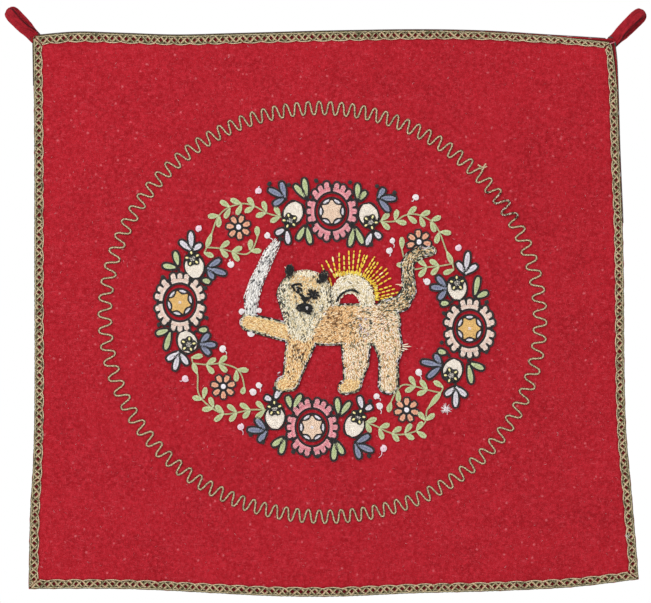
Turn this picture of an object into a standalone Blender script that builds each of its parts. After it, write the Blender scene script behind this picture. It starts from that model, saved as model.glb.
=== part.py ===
"""Embroidered wall hanging.

A red wool panel with a metal lace braid sewn round its four edges, a cloth
loop behind each upper corner, a metal cord couched down as a meandering
oval, an oval wreath of raised chain stitch, and a clipped-pile lion with a
sun and a sword.

Metres, +Z up. The panel hangs in the XZ plane with its worked face towards
-Y. The origin is the middle of its top edge. Sizes and tables below are in
millimetres, and each finished mesh is scaled to metres.
"""

import math
from collections import namedtuple

import bmesh
import bpy
from mathutils import Vector

MM = 0.001

# Cloth
CLOTH_THICK = 2.0
PANEL_WIDTH = 590.0
PANEL_HEIGHT = 553.0
GAP = 0.3
FACE = CLOTH_THICK / 2 + GAP
CORNER_CUT = 1.6
SHARP_EDGE = math.radians(35.0)

# Outline of the panel: each row is a place along an edge and how far the
# edge stands there. Top and bottom rows run along x and give z. Left and
# right rows run down from the origin and give x.
Edge = namedtuple("Edge", "along across")

TOP_EDGE = (
    Edge(-293.0, -4.0),
    Edge(-250.0, -0.4),
    Edge(-208.0, -1.4),
    Edge(-150.0, -3.3),
    Edge(-90.0, -1.6),
    Edge(0.0, 0.6),
    Edge(90.0, 2.0),
    Edge(160.0, 0.9),
    Edge(222.0, -3.2),
    Edge(288.0, -7.5),
)
BOTTOM_EDGE = (
    Edge(-297.5, -557.0),
    Edge(-208.0, -556.8),
    Edge(-116.0, -561.0),
    Edge(-50.0, -564.0),
    Edge(10.0, -564.4),
    Edge(90.0, -561.4),
    Edge(184.0, -558.4),
    Edge(250.0, -555.0),
    Edge(313.0, -547.5),
)
LEFT_EDGE = (
    Edge(4.0, -293.0),
    Edge(75.0, -292.2),
    Edge(180.0, -291.6),
    Edge(370.0, -291.6),
    Edge(430.0, -292.9),
    Edge(480.0, -295.8),
    Edge(557.0, -297.5),
)
RIGHT_EDGE = (
    Edge(7.5, 288.0),
    Edge(31.0, 290.6),
    Edge(110.0, 293.4),
    Edge(200.0, 297.0),
    Edge(330.0, 298.6),
    Edge(400.0, 300.4),
    Edge(460.0, 305.6),
    Edge(510.0, 310.0),
    Edge(547.5, 313.0),
)

# Distances of the first grid lines from each edge. The cloth and the braid
# share them, so that both bend at the same places.
EDGE_LINES = (0.0, 11.0, 24.0, 46.0, 70.0)
FOLD_LINES = (0.0, 11.0, 22.0, 34.0, 46.0, 70.0)
MIDDLE_STEP = 25.0
LINE_SETTLING = 6

# Soft waves that start at an edge and die away inwards.
Wave = namedtuple("Wave", "edge length phase height reach")

BOTTOM_SAG = 13.5
RIGHT_SPREAD = 10.0
WAVES = (
    Wave("top", 226.0, 0.6, 1.7, 62.0),
    Wave("top", 131.0, 2.2, 0.7, 40.0),
    Wave("bottom", 212.0, 2.4, 2.3, 78.0),
    Wave("bottom", 124.0, 0.3, 0.9, 46.0),
    Wave("left", 248.0, 1.1, 1.6, 62.0),
    Wave("right", 196.0, 3.4, 1.9, 66.0),
)

# Folds: a soft ridge (height over 0) or trough along a line from one place
# on the panel to another.
Fold = namedtuple("Fold", "x0 z0 x1 z1 width height")

FOLDS = (
    Fold(276.0, -306.0, 257.0, -372.0, 10.0, -1.5),
    Fold(287.0, -312.0, 281.0, -330.0, 9.0, 0.9),
    Fold(-222.0, -530.0, -50.0, -545.0, 12.0, 2.0),
    Fold(-283.0, -12.0, -246.0, -58.0, 22.0, 1.6),
    Fold(279.0, -15.0, 243.0, -62.0, 22.0, 1.5),
    Fold(300.0, -538.0, 262.0, -497.0, 26.0, 2.4),
    Fold(-286.0, -546.0, -250.0, -510.0, 26.0, 2.0),
)

# The embroidered middle is held flat by its stitches.
CALM_X = 196.0
CALM_Z = 163.0
CALM_FADE = 0.42

# Lace braid: how far its outer side lies in from the cloth's edge, and its
# width, at each corner and in the middle of a side.
Lace = namedtuple("Lace", "share margin width")

LACE_THICK = 1.1
LACE_CROWN = 0.35
LACE_TOP = (Lace(0.0, 1.2, 9.0), Lace(0.55, 1.2, 9.0), Lace(0.9, 1.6, 6.6), Lace(1.0, 4.2, 5.6))
LACE_BOTTOM = (Lace(0.0, 1.2, 8.6), Lace(0.5, 1.0, 8.6), Lace(1.0, 1.2, 8.2))
LACE_LEFT = (Lace(0.0, 1.2, 8.4), Lace(0.5, 1.0, 8.6), Lace(1.0, 1.2, 8.6))
LACE_RIGHT = (Lace(0.0, 4.6, 6.4), Lace(0.09, 1.6, 7.6), Lace(0.5, 1.2, 8.2), Lace(1.0, 1.2, 8.2))

# Corner loops: a doubled tape whose two ends are sewn behind the corner.
Loop = namedtuple("Loop", "name x z lean_x lean_z length")

LOOPS = (
    Loop("loop_left", -287.5, -9.0, -0.695, 0.719, 44.0),
    Loop("loop_right", 282.7, -13.7, 0.715, 0.700, 49.0),
)
LOOP_TAPE_WIDTH = 12.2
LOOP_TAPE_THICK = 1.8
LOOP_HALF_EYE = 8.2
LOOP_TURN = math.radians(20.0)
LOOP_OPEN_START = 8.0
LOOP_OPEN_END = 19.0
LOOP_ROOT_ANGLE = math.radians(24.0)
# The tape's edges roll in where it turns back, so the end looks round.
LOOP_END_NARROWING = 0.62
LOOP_END_SPAN = 0.34
LOOP_STEPS = 30
LOOP_LIFT = 0.7

# Couched meander: the oval's middle line is a circle with a few slow swells.
Swell = namedtuple("Swell", "order cosine sine")

OVAL_X = -4.0
OVAL_Z = -278.0
OVAL_RADIUS = 210.8
OVAL_SWELLS = (Swell(1, 0.4, -4.0), Swell(2, 6.6, -1.2), Swell(3, 0.0, -1.6))
MEANDER_COUNT = 100
MEANDER_CROWDING = 0.16
MEANDER_REACH = 7.6
MEANDER_PHASES = (62.0, 118.0, 242.0, 298.0)
MEANDER_SETTLING = 12
CORD_MOST_WIDENING = 0.6
CORD_WIDTH = 2.0
CORD_HEIGHT = 1.7

# Wreath: every quarter repeats one design, mirrored, on axes that are
# turned a little on the panel. Places are across and up from its middle.
WREATH_X = -2.6
WREATH_Z = -285.0
WREATH_TURN = math.radians(5.2)

Spot = namedtuple("Spot", "u v")
Sprig = namedtuple("Sprig", "owner base tips")
Quarter = namedtuple("Quarter", "name across up")

QUARTERS = (
    Quarter("upper_left", 1, 1),
    Quarter("upper_right", -1, 1),
    Quarter("lower_left", 1, -1),
    Quarter("lower_right", -1, -1),
)

# The quarters were drawn by eye. Near each spot, how far across and up the
# work stands off its mirrored place in every quarter.
Drift = namedtuple("Drift", "u v upper_left upper_right lower_left lower_right")

DRIFTS = (
    Drift(0.0, 107.5, (-1.4, -1.5), (-1.4, -1.5), (-1.5, -3.2), (-1.5, -3.2)),
    Drift(-144.5, 0.0, (0.5, 1.5), (2.2, 1.6), (0.5, 1.5), (2.2, 1.6)),
    Drift(-38.8, 104.5, (-0.8, -3.3), (-3.0, 1.7), (-0.2, -0.2), (1.7, -1.2)),
    Drift(-42.6, 91.0, (0.5, 1.5), (-3.5, 7.9), (1.9, -4.3), (0.7, -4.9)),
    Drift(-132.8, 39.3, (-0.2, -1.2), (-2.1, 1.4), (-0.3, 2.4), (0.6, -2.0)),
    Drift(-136.2, 50.0, (0.0, 0.0), (-6.5, -0.5), (5.3, 7.2), (-3.8, 0.9)),
    Drift(-91.5, 82.2, (-1.2, -0.4), (-3.1, 1.2), (-1.6, 4.0), (-0.6, -2.8)),
    Drift(-137.3, 53.8, (0.0, 0.0), (0.5, 2.2), (-3.1, 6.3), (0.8, -3.9)),
    Drift(-139.8, 73.1, (0.0, 0.0), (-1.2, 4.9), (-2.9, 6.9), (-0.6, -4.5)),
    Drift(-120.1, 38.3, (0.0, 0.0), (0.5, 1.2), (-0.4, 0.0), (1.8, 0.5)),
    Drift(-100.9, 34.0, (0.0, 0.0), (3.8, 5.2), (-3.8, -3.2), (0.4, -1.5)),
    Drift(-120.0, 25.0, (0.0, 0.0), (-0.2, -0.8), (1.4, 1.4), (1.7, 1.2)),
    Drift(-48.7, 115.4, (0.0, 0.0), (-4.2, 8.5), (2.1, -3.5), (-6.4, -7.5)),
    Drift(-60.0, 120.0, (0.0, 0.0), (-4.8, 2.5), (1.4, 3.5), (-5.4, -6.4)),
    Drift(-44.7, 85.3, (0.0, 0.0), (-3.1, 5.5), (2.8, -3.3), (2.8, -5.0)),
    Drift(-48.0, 74.0, (0.0, 0.0), (-5.1, 6.5), (3.8, -8.0), (0.6, -6.2)),
    Drift(-148.4, 35.7, (0.0, 0.0), (-0.1, -3.4), (-1.4, 10.1), (0.1, 3.9)),
    Drift(-159.0, 44.0, (0.0, 0.0), (-3.4, 3.8), (0.2, 4.2), (-0.3, -0.8)),
    Drift(-29.2, 117.8, (2.2, -2.8), (-5.3, 0.1), (1.9, -4.5), (-6.9, -2.8)),
    Drift(-36.4, 132.4, (0.0, 0.0), (-10.2, 0.6), (1.4, -4.1), (-9.3, -4.7)),
    Drift(-25.7, 90.7, (0.0, 0.0), (-2.9, 3.5), (2.2, -5.4), (-1.9, -7.3)),
    Drift(-26.1, 73.2, (0.0, 0.0), (0.5, 1.0), (3.6, -8.0), (0.8, -8.0)),
    Drift(-61.0, 97.5, (1.5, -0.4), (-4.5, 3.5), (3.8, -0.6), (-4.6, -5.0)),
    Drift(-85.0, 104.5, (1.2, 0.2), (-6.5, 5.8), (-0.5, 0.0), (-5.5, -4.4)),
    Drift(-109.0, 97.0, (-1.5, -3.0), (-4.8, 2.6), (-4.3, 6.7), (-2.3, -2.3)),
    Drift(-118.6, 74.0, (0.0, 0.0), (-1.9, 3.5), (-1.0, 5.1), (-7.3, -7.6)),
    Drift(-124.0, 56.0, (0.0, 0.0), (1.5, 6.0), (-3.0, 1.0), (0.3, -6.2)),
    Drift(-102.5, 57.6, (-0.3, 0.2), (3.0, 2.2), (-2.2, 1.0), (2.0, -4.6)),
    Drift(-77.0, 62.0, (0.5, 0.3), (0.0, 0.0), (0.3, -4.0), (2.4, -5.4)),
)
DRIFT_REACH = 2.0

# A domed pad's width, as a share, at shares of its height
PAD_LEVELS = ((0.0, 1.0), (0.5, 1.0), (1.0, 0.6))
ROUND_SIDES = 8
BUD_SIDES = 12

LEAF_WIDTH = 5.4
LEAF_HEIGHT = 1.2
LEAF_ROOT = 1.2
LEAF_BELLY = 0.36
LEAF_NECK = 0.78
LEAF_NECK_SHARE = 0.8
STEM_WIDTH = 2.4
STALK_SHARE = 0.6

MEDALLION_SIDE = Spot(-144.5, 0.0)
MEDALLION_TOP = Spot(0.0, 107.5)
MEDALLION_HALF_WIDTH = 25.0
MEDALLION_HALF_HEIGHT = 28.8
MEDALLION_LOBES = 18
MEDALLION_LOBE_DEPTH = 0.085
MEDALLION_HEIGHT = 1.3
STAR_POINTS = 6
STAR_RADIUS = 12.4
STAR_WAIST = 7.4
STAR_HEIGHT = 2.0
STAR_UPRIGHT = math.radians(90.0)
STAR_LEFT = math.radians(45.0)
STAR_RIGHT = 0.0

BUD_SIDE = Spot(-132.8, 39.3)
BUD_TOP = Spot(-38.8, 104.5)
BUD_HALF_WIDTH = 9.2
BUD_HALF_HEIGHT = 9.7
BUD_HEIGHT = 3.2
CALYX_SIDE = Spot(-136.2, 50.0)
CALYX_TOP = Spot(-42.6, 91.0)
CALYX_RADIUS = 6.2
CALYX_HEIGHT = 1.6

BLOSSOM = Spot(-91.5, 82.2)
BLOSSOM_RADIUS = 12.0
BLOSSOM_WAIST = 7.6
BLOSSOM_PETALS = 7
BLOSSOM_TURN = math.radians(15.0)
PETAL_SHOULDER = 0.93
BLOSSOM_HEIGHT = 1.4
BLOSSOM_EYE = 3.6
BLOSSOM_EYE_HEIGHT = 2.2

SPRIGS = (
    Sprig("bud_side", Spot(-137.3, 53.8), (Spot(-139.8, 73.1), Spot(-149.7, 62.7), Spot(-128.0, 61.2))),
    Sprig("bud_side", Spot(-120.1, 38.3), (Spot(-107.6, 47.9), Spot(-100.9, 34.0), Spot(-113.1, 28.0))),
    Sprig("bud_side", Spot(-126.6, 26.4), (Spot(-115.8, 24.6),)),
    Sprig("bud_top", Spot(-48.7, 115.4), (Spot(-66.4, 122.3), Spot(-54.3, 130.6), Spot(-60.7, 107.5))),
    Sprig("bud_top", Spot(-44.7, 85.3), (Spot(-55.0, 78.3), Spot(-41.5, 69.7))),
    Sprig("medallion_side", Spot(-148.4, 35.7), (Spot(-153.7, 51.7), Spot(-164.4, 36.7))),
    Sprig("medallion_top", Spot(-29.2, 117.8), (Spot(-40.8, 128.9), Spot(-31.9, 136.0))),
    Sprig("medallion_top", Spot(-25.7, 90.7), (Spot(-32.9, 74.6), Spot(-19.4, 71.7))),
)

# The vine's two stems, and how far along each its pairs of leaves stand.
OUTER_STEM = (
    Spot(-51.5, 95.6),
    Spot(-66.6, 98.5),
    Spot(-79.3, 103.6),
    Spot(-92.0, 105.3),
    Spot(-104.7, 102.4),
    Spot(-113.2, 92.0),
    Spot(-118.6, 73.7),
    Spot(-122.6, 58.7),
    Spot(-124.6, 52.6),
)
INNER_STEM = (
    Spot(-122.6, 58.7),
    Spot(-109.2, 58.8),
    Spot(-95.6, 56.4),
    Spot(-83.3, 55.2),
    Spot(-76.6, 62.0),
    Spot(-73.0, 74.2),
)
OUTER_PAIRS = (1.8, 15.4, 29.0, 42.0, 54.0, 68.0)
INNER_PAIRS = (13.0, 24.6, 45.0)
SingleLeaf = namedtuple("SingleLeaf", "base tip")
OUTER_SINGLES = (
    SingleLeaf(Spot(-118.6, 74.0), Spot(-122.6, 58.7)),
    SingleLeaf(Spot(-125.4, 53.4), Spot(-114.6, 50.2)),
)
INNER_SINGLES = (SingleLeaf(Spot(-73.0, 73.0), Spot(-74.5, 84.4)),)
# In two quarters the lion's tail or foot hides the vine's inner end.
CROSSED_QUARTERS = ("upper_right", "lower_right")
CROSSED_ROWS = 3
CROSSED_PAIRS = 2
PAIR_LEAF_LENGTH = 11.5
PAIR_LEAF_SPREAD = math.radians(47.0)

# Lion: round-nosed limbs, each from one place to another on the panel.
Limb = namedtuple("Limb", "name x0 z0 r0 x1 z1 r1 height")

LION_TRUNK = Limb("trunk", -4.0, -292.5, 19.5, 46.0, -292.3, 19.3, 4.4)
LION_LIMBS = (
    Limb("rump", 46.0, -292.3, 19.3, 56.0, -291.0, 17.5, 4.2),
    Limb("foreleg", -24.5, -308.0, 14.0, -34.5, -346.0, 7.7, 4.0),
    Limb("forefoot", -36.0, -350.0, 8.0, -43.5, -352.5, 6.5, 3.6),
    Limb("raised_leg", -26.0, -303.5, 8.7, -77.0, -290.2, 7.8, 3.6),
    Limb("near_thigh", 30.0, -305.0, 14.5, 29.7, -331.0, 11.8, 4.6),
    Limb("near_foot", 29.7, -331.0, 11.8, 26.5, -350.0, 8.0, 3.8),
    Limb("near_toe", 26.5, -352.0, 8.0, 19.0, -355.5, 6.0, 3.4),
    Limb("far_thigh", 58.0, -300.0, 15.0, 63.5, -316.0, 12.5, 3.9),
    Limb("far_shin", 63.5, -316.0, 12.5, 62.6, -331.0, 8.4, 3.7),
    Limb("far_foot", 62.6, -331.0, 8.4, 62.5, -352.0, 9.3, 3.5),
    Limb("tail_root", 59.0, -277.0, 8.0, 76.0, -271.0, 7.0, 3.2),
    Limb("tail_turn", 76.0, -271.0, 7.0, 83.0, -259.0, 6.0, 3.2),
    Limb("tail_low", 83.0, -259.0, 6.0, 82.0, -245.0, 5.0, 3.2),
    Limb("tail_high", 82.0, -245.0, 5.0, 81.3, -232.0, 5.3, 3.2),
    Limb("tail_bend", 81.3, -232.0, 5.3, 85.5, -225.0, 5.0, 3.2),
    Limb("tail_curl", 85.5, -225.0, 5.0, 95.0, -220.5, 5.0, 3.2),
    Limb("tail_tip", 95.0, -220.5, 5.0, 105.5, -218.8, 3.4, 3.0),
)
# Where the pile is stitched over part of the wreath, and by which limb.
Crossing = namedtuple("Crossing", "node limb")

CROSSINGS = (
    Crossing("blossom_upper_right", "tail_bend"),
    Crossing("blossom_upper_right", "tail_curl"),
    Crossing("blossom_upper_right", "tail_tip"),
    Crossing("vine_upper_right", "tail_low"),
    Crossing("vine_upper_right", "tail_turn"),
    Crossing("vine_lower_right", "far_foot"),
    Crossing("medallion_bottom", "foreleg"),
    Crossing("medallion_bottom", "forefoot"),
)
ROOM_HEIGHT = 9.0
ROOM_BELOW = 1.0
ROOM_GROW = 0.45
LIMB_SIDES = 8
MANE_SIDES = 20
MANE = Limb("mane", -20.8, -266.5, 28.0, -24.0, -294.0, 16.0, 5.6)
FACE_PADS = (
    Limb("left_ear", -36.0, -237.3, 4.8, -37.0, -244.5, 3.4, 6.6),
    Limb("right_ear", -1.5, -242.5, 4.6, -7.0, -249.5, 3.2, 6.6),
    Limb("muzzle", -21.0, -262.0, 9.5, -21.0, -273.0, 8.0, 7.6),
)

# Sun: an arch of pile that stands on the lion's back.
SUN_X = 27.2
SUN_Z = -273.8
SUN_HALF_WIDTH = 22.2
SUN_RISE = 32.4
SUN_STEPS = 14
SUN_MOUTH_X = 22.9
SUN_MOUTH_HALF_WIDTH = 10.5
SUN_MOUTH_RISE = 12.0
SUN_MOUTH_STEPS = 9
SUN_HEIGHT = 3.0

# Sword: a curved blade raised from the forepaw.
SWORD_HEIGHT = 3.0
SWORD_BLADE = (
    Edge(-281.4, -75.2),
    Edge(-266.0, -74.4),
    Edge(-250.0, -69.4),
    Edge(-236.0, -62.8),
    Edge(-222.0, -56.4),
    Edge(-211.5, -49.6),
)
SWORD_HALF_WIDTHS = (5.2, 6.9, 6.2, 5.8, 5.4, 3.6)

# Colours, as seen under plain light
RED_WOOL = (0.435, 0.013, 0.023)
LOOP_RED = (0.400, 0.012, 0.020)
METAL_LACE = (0.352, 0.280, 0.152)
METAL_CORD = (0.392, 0.305, 0.174)
PINK_SILK = (0.745, 0.223, 0.270)
PEACH_SILK = (0.838, 0.552, 0.468)
CREAM_SILK = (0.838, 0.760, 0.645)
LEAF_GREEN = (0.402, 0.552, 0.319)
ORANGE_SILK = (0.806, 0.319, 0.188)
LION_TAN = (0.730, 0.456, 0.205)
MANE_CREAM = (0.730, 0.645, 0.451)
SUN_CREAM = (0.761, 0.578, 0.392)
BLADE_WHITE = (0.753, 0.730, 0.679)


def clear_scene():
    for thing in list(bpy.data.objects):
        bpy.data.objects.remove(thing, do_unlink=True)


def smooth_share(value):
    share = min(max(value, 0.0), 1.0)
    return share * share * (3.0 - 2.0 * share)


def row_slope(rows, index):
    before = rows[max(index - 1, 0)]
    after = rows[min(index + 1, len(rows) - 1)]
    return (after.across - before.across) / (after.along - before.along)


def curve_at(rows, along):
    """Where a smooth curve through the rows stands at a place along it."""
    index = 0
    while index < len(rows) - 2 and along > rows[index + 1].along:
        index += 1
    start = rows[index]
    end = rows[index + 1]
    span = end.along - start.along
    part = (along - start.along) / span
    rise = end.across - start.across
    leaving = row_slope(rows, index) * span
    arriving = row_slope(rows, index + 1) * span
    blend = part * part * (3.0 - 2.0 * part) * rise
    blend += part * (1.0 - part) ** 2 * leaving
    blend -= part * part * (1.0 - part) * arriving
    return start.across + blend


def between(rows, share):
    """A place along a table of rows, from its first row to its last."""
    return rows[0].along + (rows[-1].along - rows[0].along) * share


def panel_point(across, down):
    """x and z on the panel at a share of its width and of its height."""
    top_x = between(TOP_EDGE, across)
    top = Vector((top_x, curve_at(TOP_EDGE, top_x)))
    bottom_x = between(BOTTOM_EDGE, across)
    bottom = Vector((bottom_x, curve_at(BOTTOM_EDGE, bottom_x)))
    left_z = between(LEFT_EDGE, down)
    left = Vector((curve_at(LEFT_EDGE, left_z), -left_z))
    right_z = between(RIGHT_EDGE, down)
    right = Vector((curve_at(RIGHT_EDGE, right_z), -right_z))
    upper = Vector(TOP_EDGE[0]).lerp(Vector(TOP_EDGE[-1]), across)
    lower = Vector(BOTTOM_EDGE[0]).lerp(Vector(BOTTOM_EDGE[-1]), across)
    ruled = top.lerp(bottom, down) + left.lerp(right, across)
    return ruled - upper.lerp(lower, down)


def wave_height(wave, x, z):
    places = {
        "top": (-z, x),
        "bottom": (z - BOTTOM_EDGE[-1].across + BOTTOM_SAG, x),
        "left": (x - LEFT_EDGE[0].across, z),
        "right": (RIGHT_EDGE[0].across + RIGHT_SPREAD - x, z),
    }
    inwards, along = places[wave.edge]
    fade = math.exp(-(inwards / wave.reach) ** 2)
    return wave.height * fade * math.sin(2.0 * math.pi * along / wave.length + wave.phase)


def fold_height(fold, x, z):
    start = Vector((fold.x0, fold.z0))
    run = Vector((fold.x1, fold.z1)) - start
    here = Vector((x, z)) - start
    share = min(max(here.dot(run) / run.length_squared, 0.0), 1.0)
    away = (here - run * share).length
    return fold.height * math.exp(-(away / fold.width) ** 2)


def relief(x, z):
    """How far the cloth stands towards the viewer at a place on the panel."""
    ring = math.hypot((x - WREATH_X) / CALM_X, (z - WREATH_Z) / CALM_Z)
    loose = smooth_share((ring - 1.0) / CALM_FADE)
    height = sum(wave_height(wave, x, z) for wave in WAVES)
    height += sum(fold_height(fold, x, z) for fold in FOLDS)
    return loose * height


def grid_lines(near, far, length):
    """Shares of a length at the lines near both ends and between them."""
    start = list(near)
    finish = [length - step for step in reversed(far)]
    room = finish[0] - start[-1]
    count = round(room / MIDDLE_STEP)
    middle = [start[-1] + room * step / count for step in range(1, count)]
    return [line / length for line in start + middle + finish]


ACROSS_LINES = grid_lines(EDGE_LINES, FOLD_LINES, PANEL_WIDTH)
DOWN_LINES = grid_lines(EDGE_LINES, FOLD_LINES, PANEL_HEIGHT)


def panel_share(x, z):
    """Share of the panel's width and height at a place on it."""
    across = 0.5
    down = 0.5
    for _ in range(LINE_SETTLING):
        place = panel_point(across, down)
        across += (x - place.x) / PANEL_WIDTH
        down += (place.y - z) / PANEL_HEIGHT
    return across, down


def cell_of(lines, share):
    """The grid cell that holds a share, and how far into it the share is."""
    cell = 0
    while cell < len(lines) - 2 and share > lines[cell + 1]:
        cell += 1
    return cell, (share - lines[cell]) / (lines[cell + 1] - lines[cell])


def facet_relief(x, z):
    """Relief of the cloth's own facets at a place on the panel."""
    across, down = panel_share(x, z)
    column, right = cell_of(ACROSS_LINES, across)
    row, lower = cell_of(DOWN_LINES, down)
    height = 0.0
    for step_across, share_across in ((0, 1.0 - right), (1, right)):
        for step_down, share_down in ((0, 1.0 - lower), (1, lower)):
            corner = panel_point(ACROSS_LINES[column + step_across], DOWN_LINES[row + step_down])
            height += relief(corner.x, corner.y) * share_across * share_down
    return height


def face_y(x, z, height):
    """y of a point that stands a height above the cloth's worked face."""
    return -(facet_relief(x, z) + FACE + height)


def material(name, colour, roughness, metallic):
    made = bpy.data.materials.new(name)
    made.use_nodes = True
    shader = made.node_tree.nodes["Principled BSDF"]
    shader.inputs["Base Color"].default_value = (*colour, 1.0)
    shader.inputs["Roughness"].default_value = roughness
    shader.inputs["Metallic"].default_value = metallic
    made.diffuse_color = (*colour, 1.0)
    return made


def add_object(name, bm, finish):
    """Turn a bmesh in millimetres into a smooth-shaded object in metres."""
    bmesh.ops.scale(bm, vec=(MM, MM, MM), verts=bm.verts[:])
    bmesh.ops.recalc_face_normals(bm, faces=bm.faces[:])
    mesh = bpy.data.meshes.new(name)
    bm.to_mesh(mesh)
    bm.free()
    mesh.materials.append(finish)
    mesh.shade_smooth()
    mesh.set_sharp_from_angle(angle=SHARP_EDGE)
    made = bpy.data.objects.new(name, mesh)
    bpy.context.scene.collection.objects.link(made)
    return made


def add_cutter(name, bm, finish):
    made = add_object(name, bm, finish)
    made.hide_render = True
    made.display_type = "WIRE"
    return made


def boolean(made, cutter, operation):
    step = made.modifiers.new(operation.title(), "BOOLEAN")
    step.operation = operation
    step.solver = "EXACT"
    step.use_self = operation == "UNION"
    step.object = cutter


def slab(columns, rows):
    """A closed slab with corners at 0 and 1, split in columns and rows."""
    bm = bmesh.new()
    bmesh.ops.create_grid(bm, x_segments=columns, y_segments=rows, size=0.5)
    bmesh.ops.translate(bm, verts=bm.verts[:], vec=(0.5, 0.5, 0.0))
    grown = bmesh.ops.extrude_face_region(bm, geom=bm.faces[:])
    raised = [item for item in grown["geom"] if isinstance(item, bmesh.types.BMVert)]
    bmesh.ops.translate(bm, verts=raised, vec=(0.0, 0.0, 1.0))
    return bm


def make_cloth():
    columns = len(ACROSS_LINES) - 1
    rows = len(DOWN_LINES) - 1
    bm = slab(columns, rows)
    for vert in bm.verts:
        column = round(vert.co.x * columns)
        row = round(vert.co.y * rows)
        place = panel_point(ACROSS_LINES[column], DOWN_LINES[row])
        if column in (0, columns) and row in (0, rows):
            middle = Vector((WREATH_X, WREATH_Z))
            place += (middle - place).normalized() * CORNER_CUT
        side = CLOTH_THICK * (vert.co.z - 0.5)
        vert.co = Vector((place.x, side - relief(place.x, place.y), place.y))
    add_object("cloth", bm, material("red_wool", RED_WOOL, 0.95, 0.0))


def lace_at(rows, share):
    """Margin and width of a side's braid at a share of its length."""
    index = 0
    while index < len(rows) - 2 and share > rows[index + 1].share:
        index += 1
    start = rows[index]
    end = rows[index + 1]
    part = min(max((share - start.share) / (end.share - start.share), 0.0), 1.0)
    margin = start.margin + (end.margin - start.margin) * part
    width = start.width + (end.width - start.width) * part
    return margin, width


def make_braid(name, rows, lines, length, depth, flip, upright, ends, finish):
    """One side's braid, mitred against the braids of the two next sides."""
    start_side, end_side, start_share, end_share = ends
    stations = lines[1:-1]
    columns = len(stations) + 1
    bm = slab(columns, 2)
    for vert in bm.verts:
        column = round(vert.co.x * columns)
        across = vert.co.y
        if column == 0:
            margin, width = lace_at(start_side, start_share)
            along = (margin + width * across + GAP) / length
        elif column == columns:
            margin, width = lace_at(end_side, end_share)
            along = 1.0 - (margin + width * across + GAP) / length
        else:
            along = stations[column - 1]
        margin, width = lace_at(rows, along)
        inwards = (margin + width * across) / depth
        if flip:
            inwards = 1.0 - inwards
        place = panel_point(inwards, along) if upright else panel_point(along, inwards)
        crown = LACE_CROWN if abs(across - 0.5) < 0.1 else 0.0
        height = vert.co.z * (LACE_THICK + crown)
        vert.co = Vector((place.x, face_y(place.x, place.y, height), place.y))
    add_object(name, bm, finish)


def make_braids():
    finish = material("metal_lace", METAL_LACE, 0.45, 0.6)
    make_braid("braid_top", LACE_TOP, ACROSS_LINES, PANEL_WIDTH, PANEL_HEIGHT,
               False, False, (LACE_LEFT, LACE_RIGHT, 0.0, 0.0), finish)
    make_braid("braid_bottom", LACE_BOTTOM, ACROSS_LINES, PANEL_WIDTH, PANEL_HEIGHT,
               True, False, (LACE_LEFT, LACE_RIGHT, 1.0, 1.0), finish)
    make_braid("braid_left", LACE_LEFT, DOWN_LINES, PANEL_HEIGHT, PANEL_WIDTH,
               False, True, (LACE_TOP, LACE_BOTTOM, 0.0, 0.0), finish)
    make_braid("braid_right", LACE_RIGHT, DOWN_LINES, PANEL_HEIGHT, PANEL_WIDTH,
               True, True, (LACE_TOP, LACE_BOTTOM, 1.0, 1.0), finish)


def loop_centre(loop, angle):
    """Middle of the tape's thickness, and the way its width lies."""
    along = Vector((loop.lean_x, 0.0, loop.lean_z)).normalized()
    inner = Vector((loop.lean_z, 0.0, -loop.lean_x)).normalized()
    reach = loop.length * (1.0 - math.cos(angle)) / 2.0
    opened = smooth_share((reach - LOOP_OPEN_START) / (LOOP_OPEN_END - LOOP_OPEN_START))
    turned = LOOP_TURN * opened
    back = Vector((0.0, 1.0, 0.0))
    wide = inner * math.cos(turned) - back * math.sin(turned)
    apart = inner * math.sin(turned) + back * math.cos(turned)
    shut = LOOP_TAPE_THICK / 2.0 + GAP
    eye = LOOP_HALF_EYE * abs(math.sin(angle)) * math.sin(angle / 2.0)
    offset = shut * (1.0 - opened) + eye * opened
    if math.sin(angle) < 0.0:
        offset = -offset
    lift = CLOTH_THICK / 2.0 + GAP * 2.0 + LOOP_TAPE_THICK + LOOP_LIFT
    root = Vector((loop.x, lift - relief(loop.x, loop.z), loop.z))
    return root + along * reach - apart * offset, wide


def make_loop(loop, finish):
    bm = slab(LOOP_STEPS, 1)
    first = LOOP_ROOT_ANGLE
    last = 2.0 * math.pi - LOOP_ROOT_ANGLE
    step = (last - first) / LOOP_STEPS
    for vert in bm.verts:
        angle = first + (last - first) * vert.co.x
        centre, wide = loop_centre(loop, angle)
        ahead, _ = loop_centre(loop, min(angle + step * 0.2, last))
        behind, _ = loop_centre(loop, max(angle - step * 0.2, first))
        normal = (ahead - behind).normalized().cross(wide).normalized()
        end = math.exp(-((angle - math.pi) / LOOP_END_SPAN) ** 2)
        width = LOOP_TAPE_WIDTH * (1.0 - LOOP_END_NARROWING * end)
        side = wide * (vert.co.y - 0.5) * width
        vert.co = centre + side + normal * (vert.co.z - 0.5) * LOOP_TAPE_THICK
    add_object(loop.name, bm, finish)


def oval_point(angle, outwards):
    """x and z on the couched oval, or outwards from its middle line."""
    radius = OVAL_RADIUS + outwards
    for swell in OVAL_SWELLS:
        radius += swell.cosine * math.cos(swell.order * angle)
        radius += swell.sine * math.sin(swell.order * angle)
    return Vector((OVAL_X + radius * math.cos(angle), OVAL_Z + radius * math.sin(angle)))


def meander_angle(phase):
    """Angle round the oval at which the meander has a given phase."""
    angle = phase / MEANDER_COUNT
    for _ in range(MEANDER_SETTLING):
        drift = MEANDER_CROWDING / 2.0 * math.sin(2.0 * angle)
        angle = phase / MEANDER_COUNT + drift
    return angle


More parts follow.
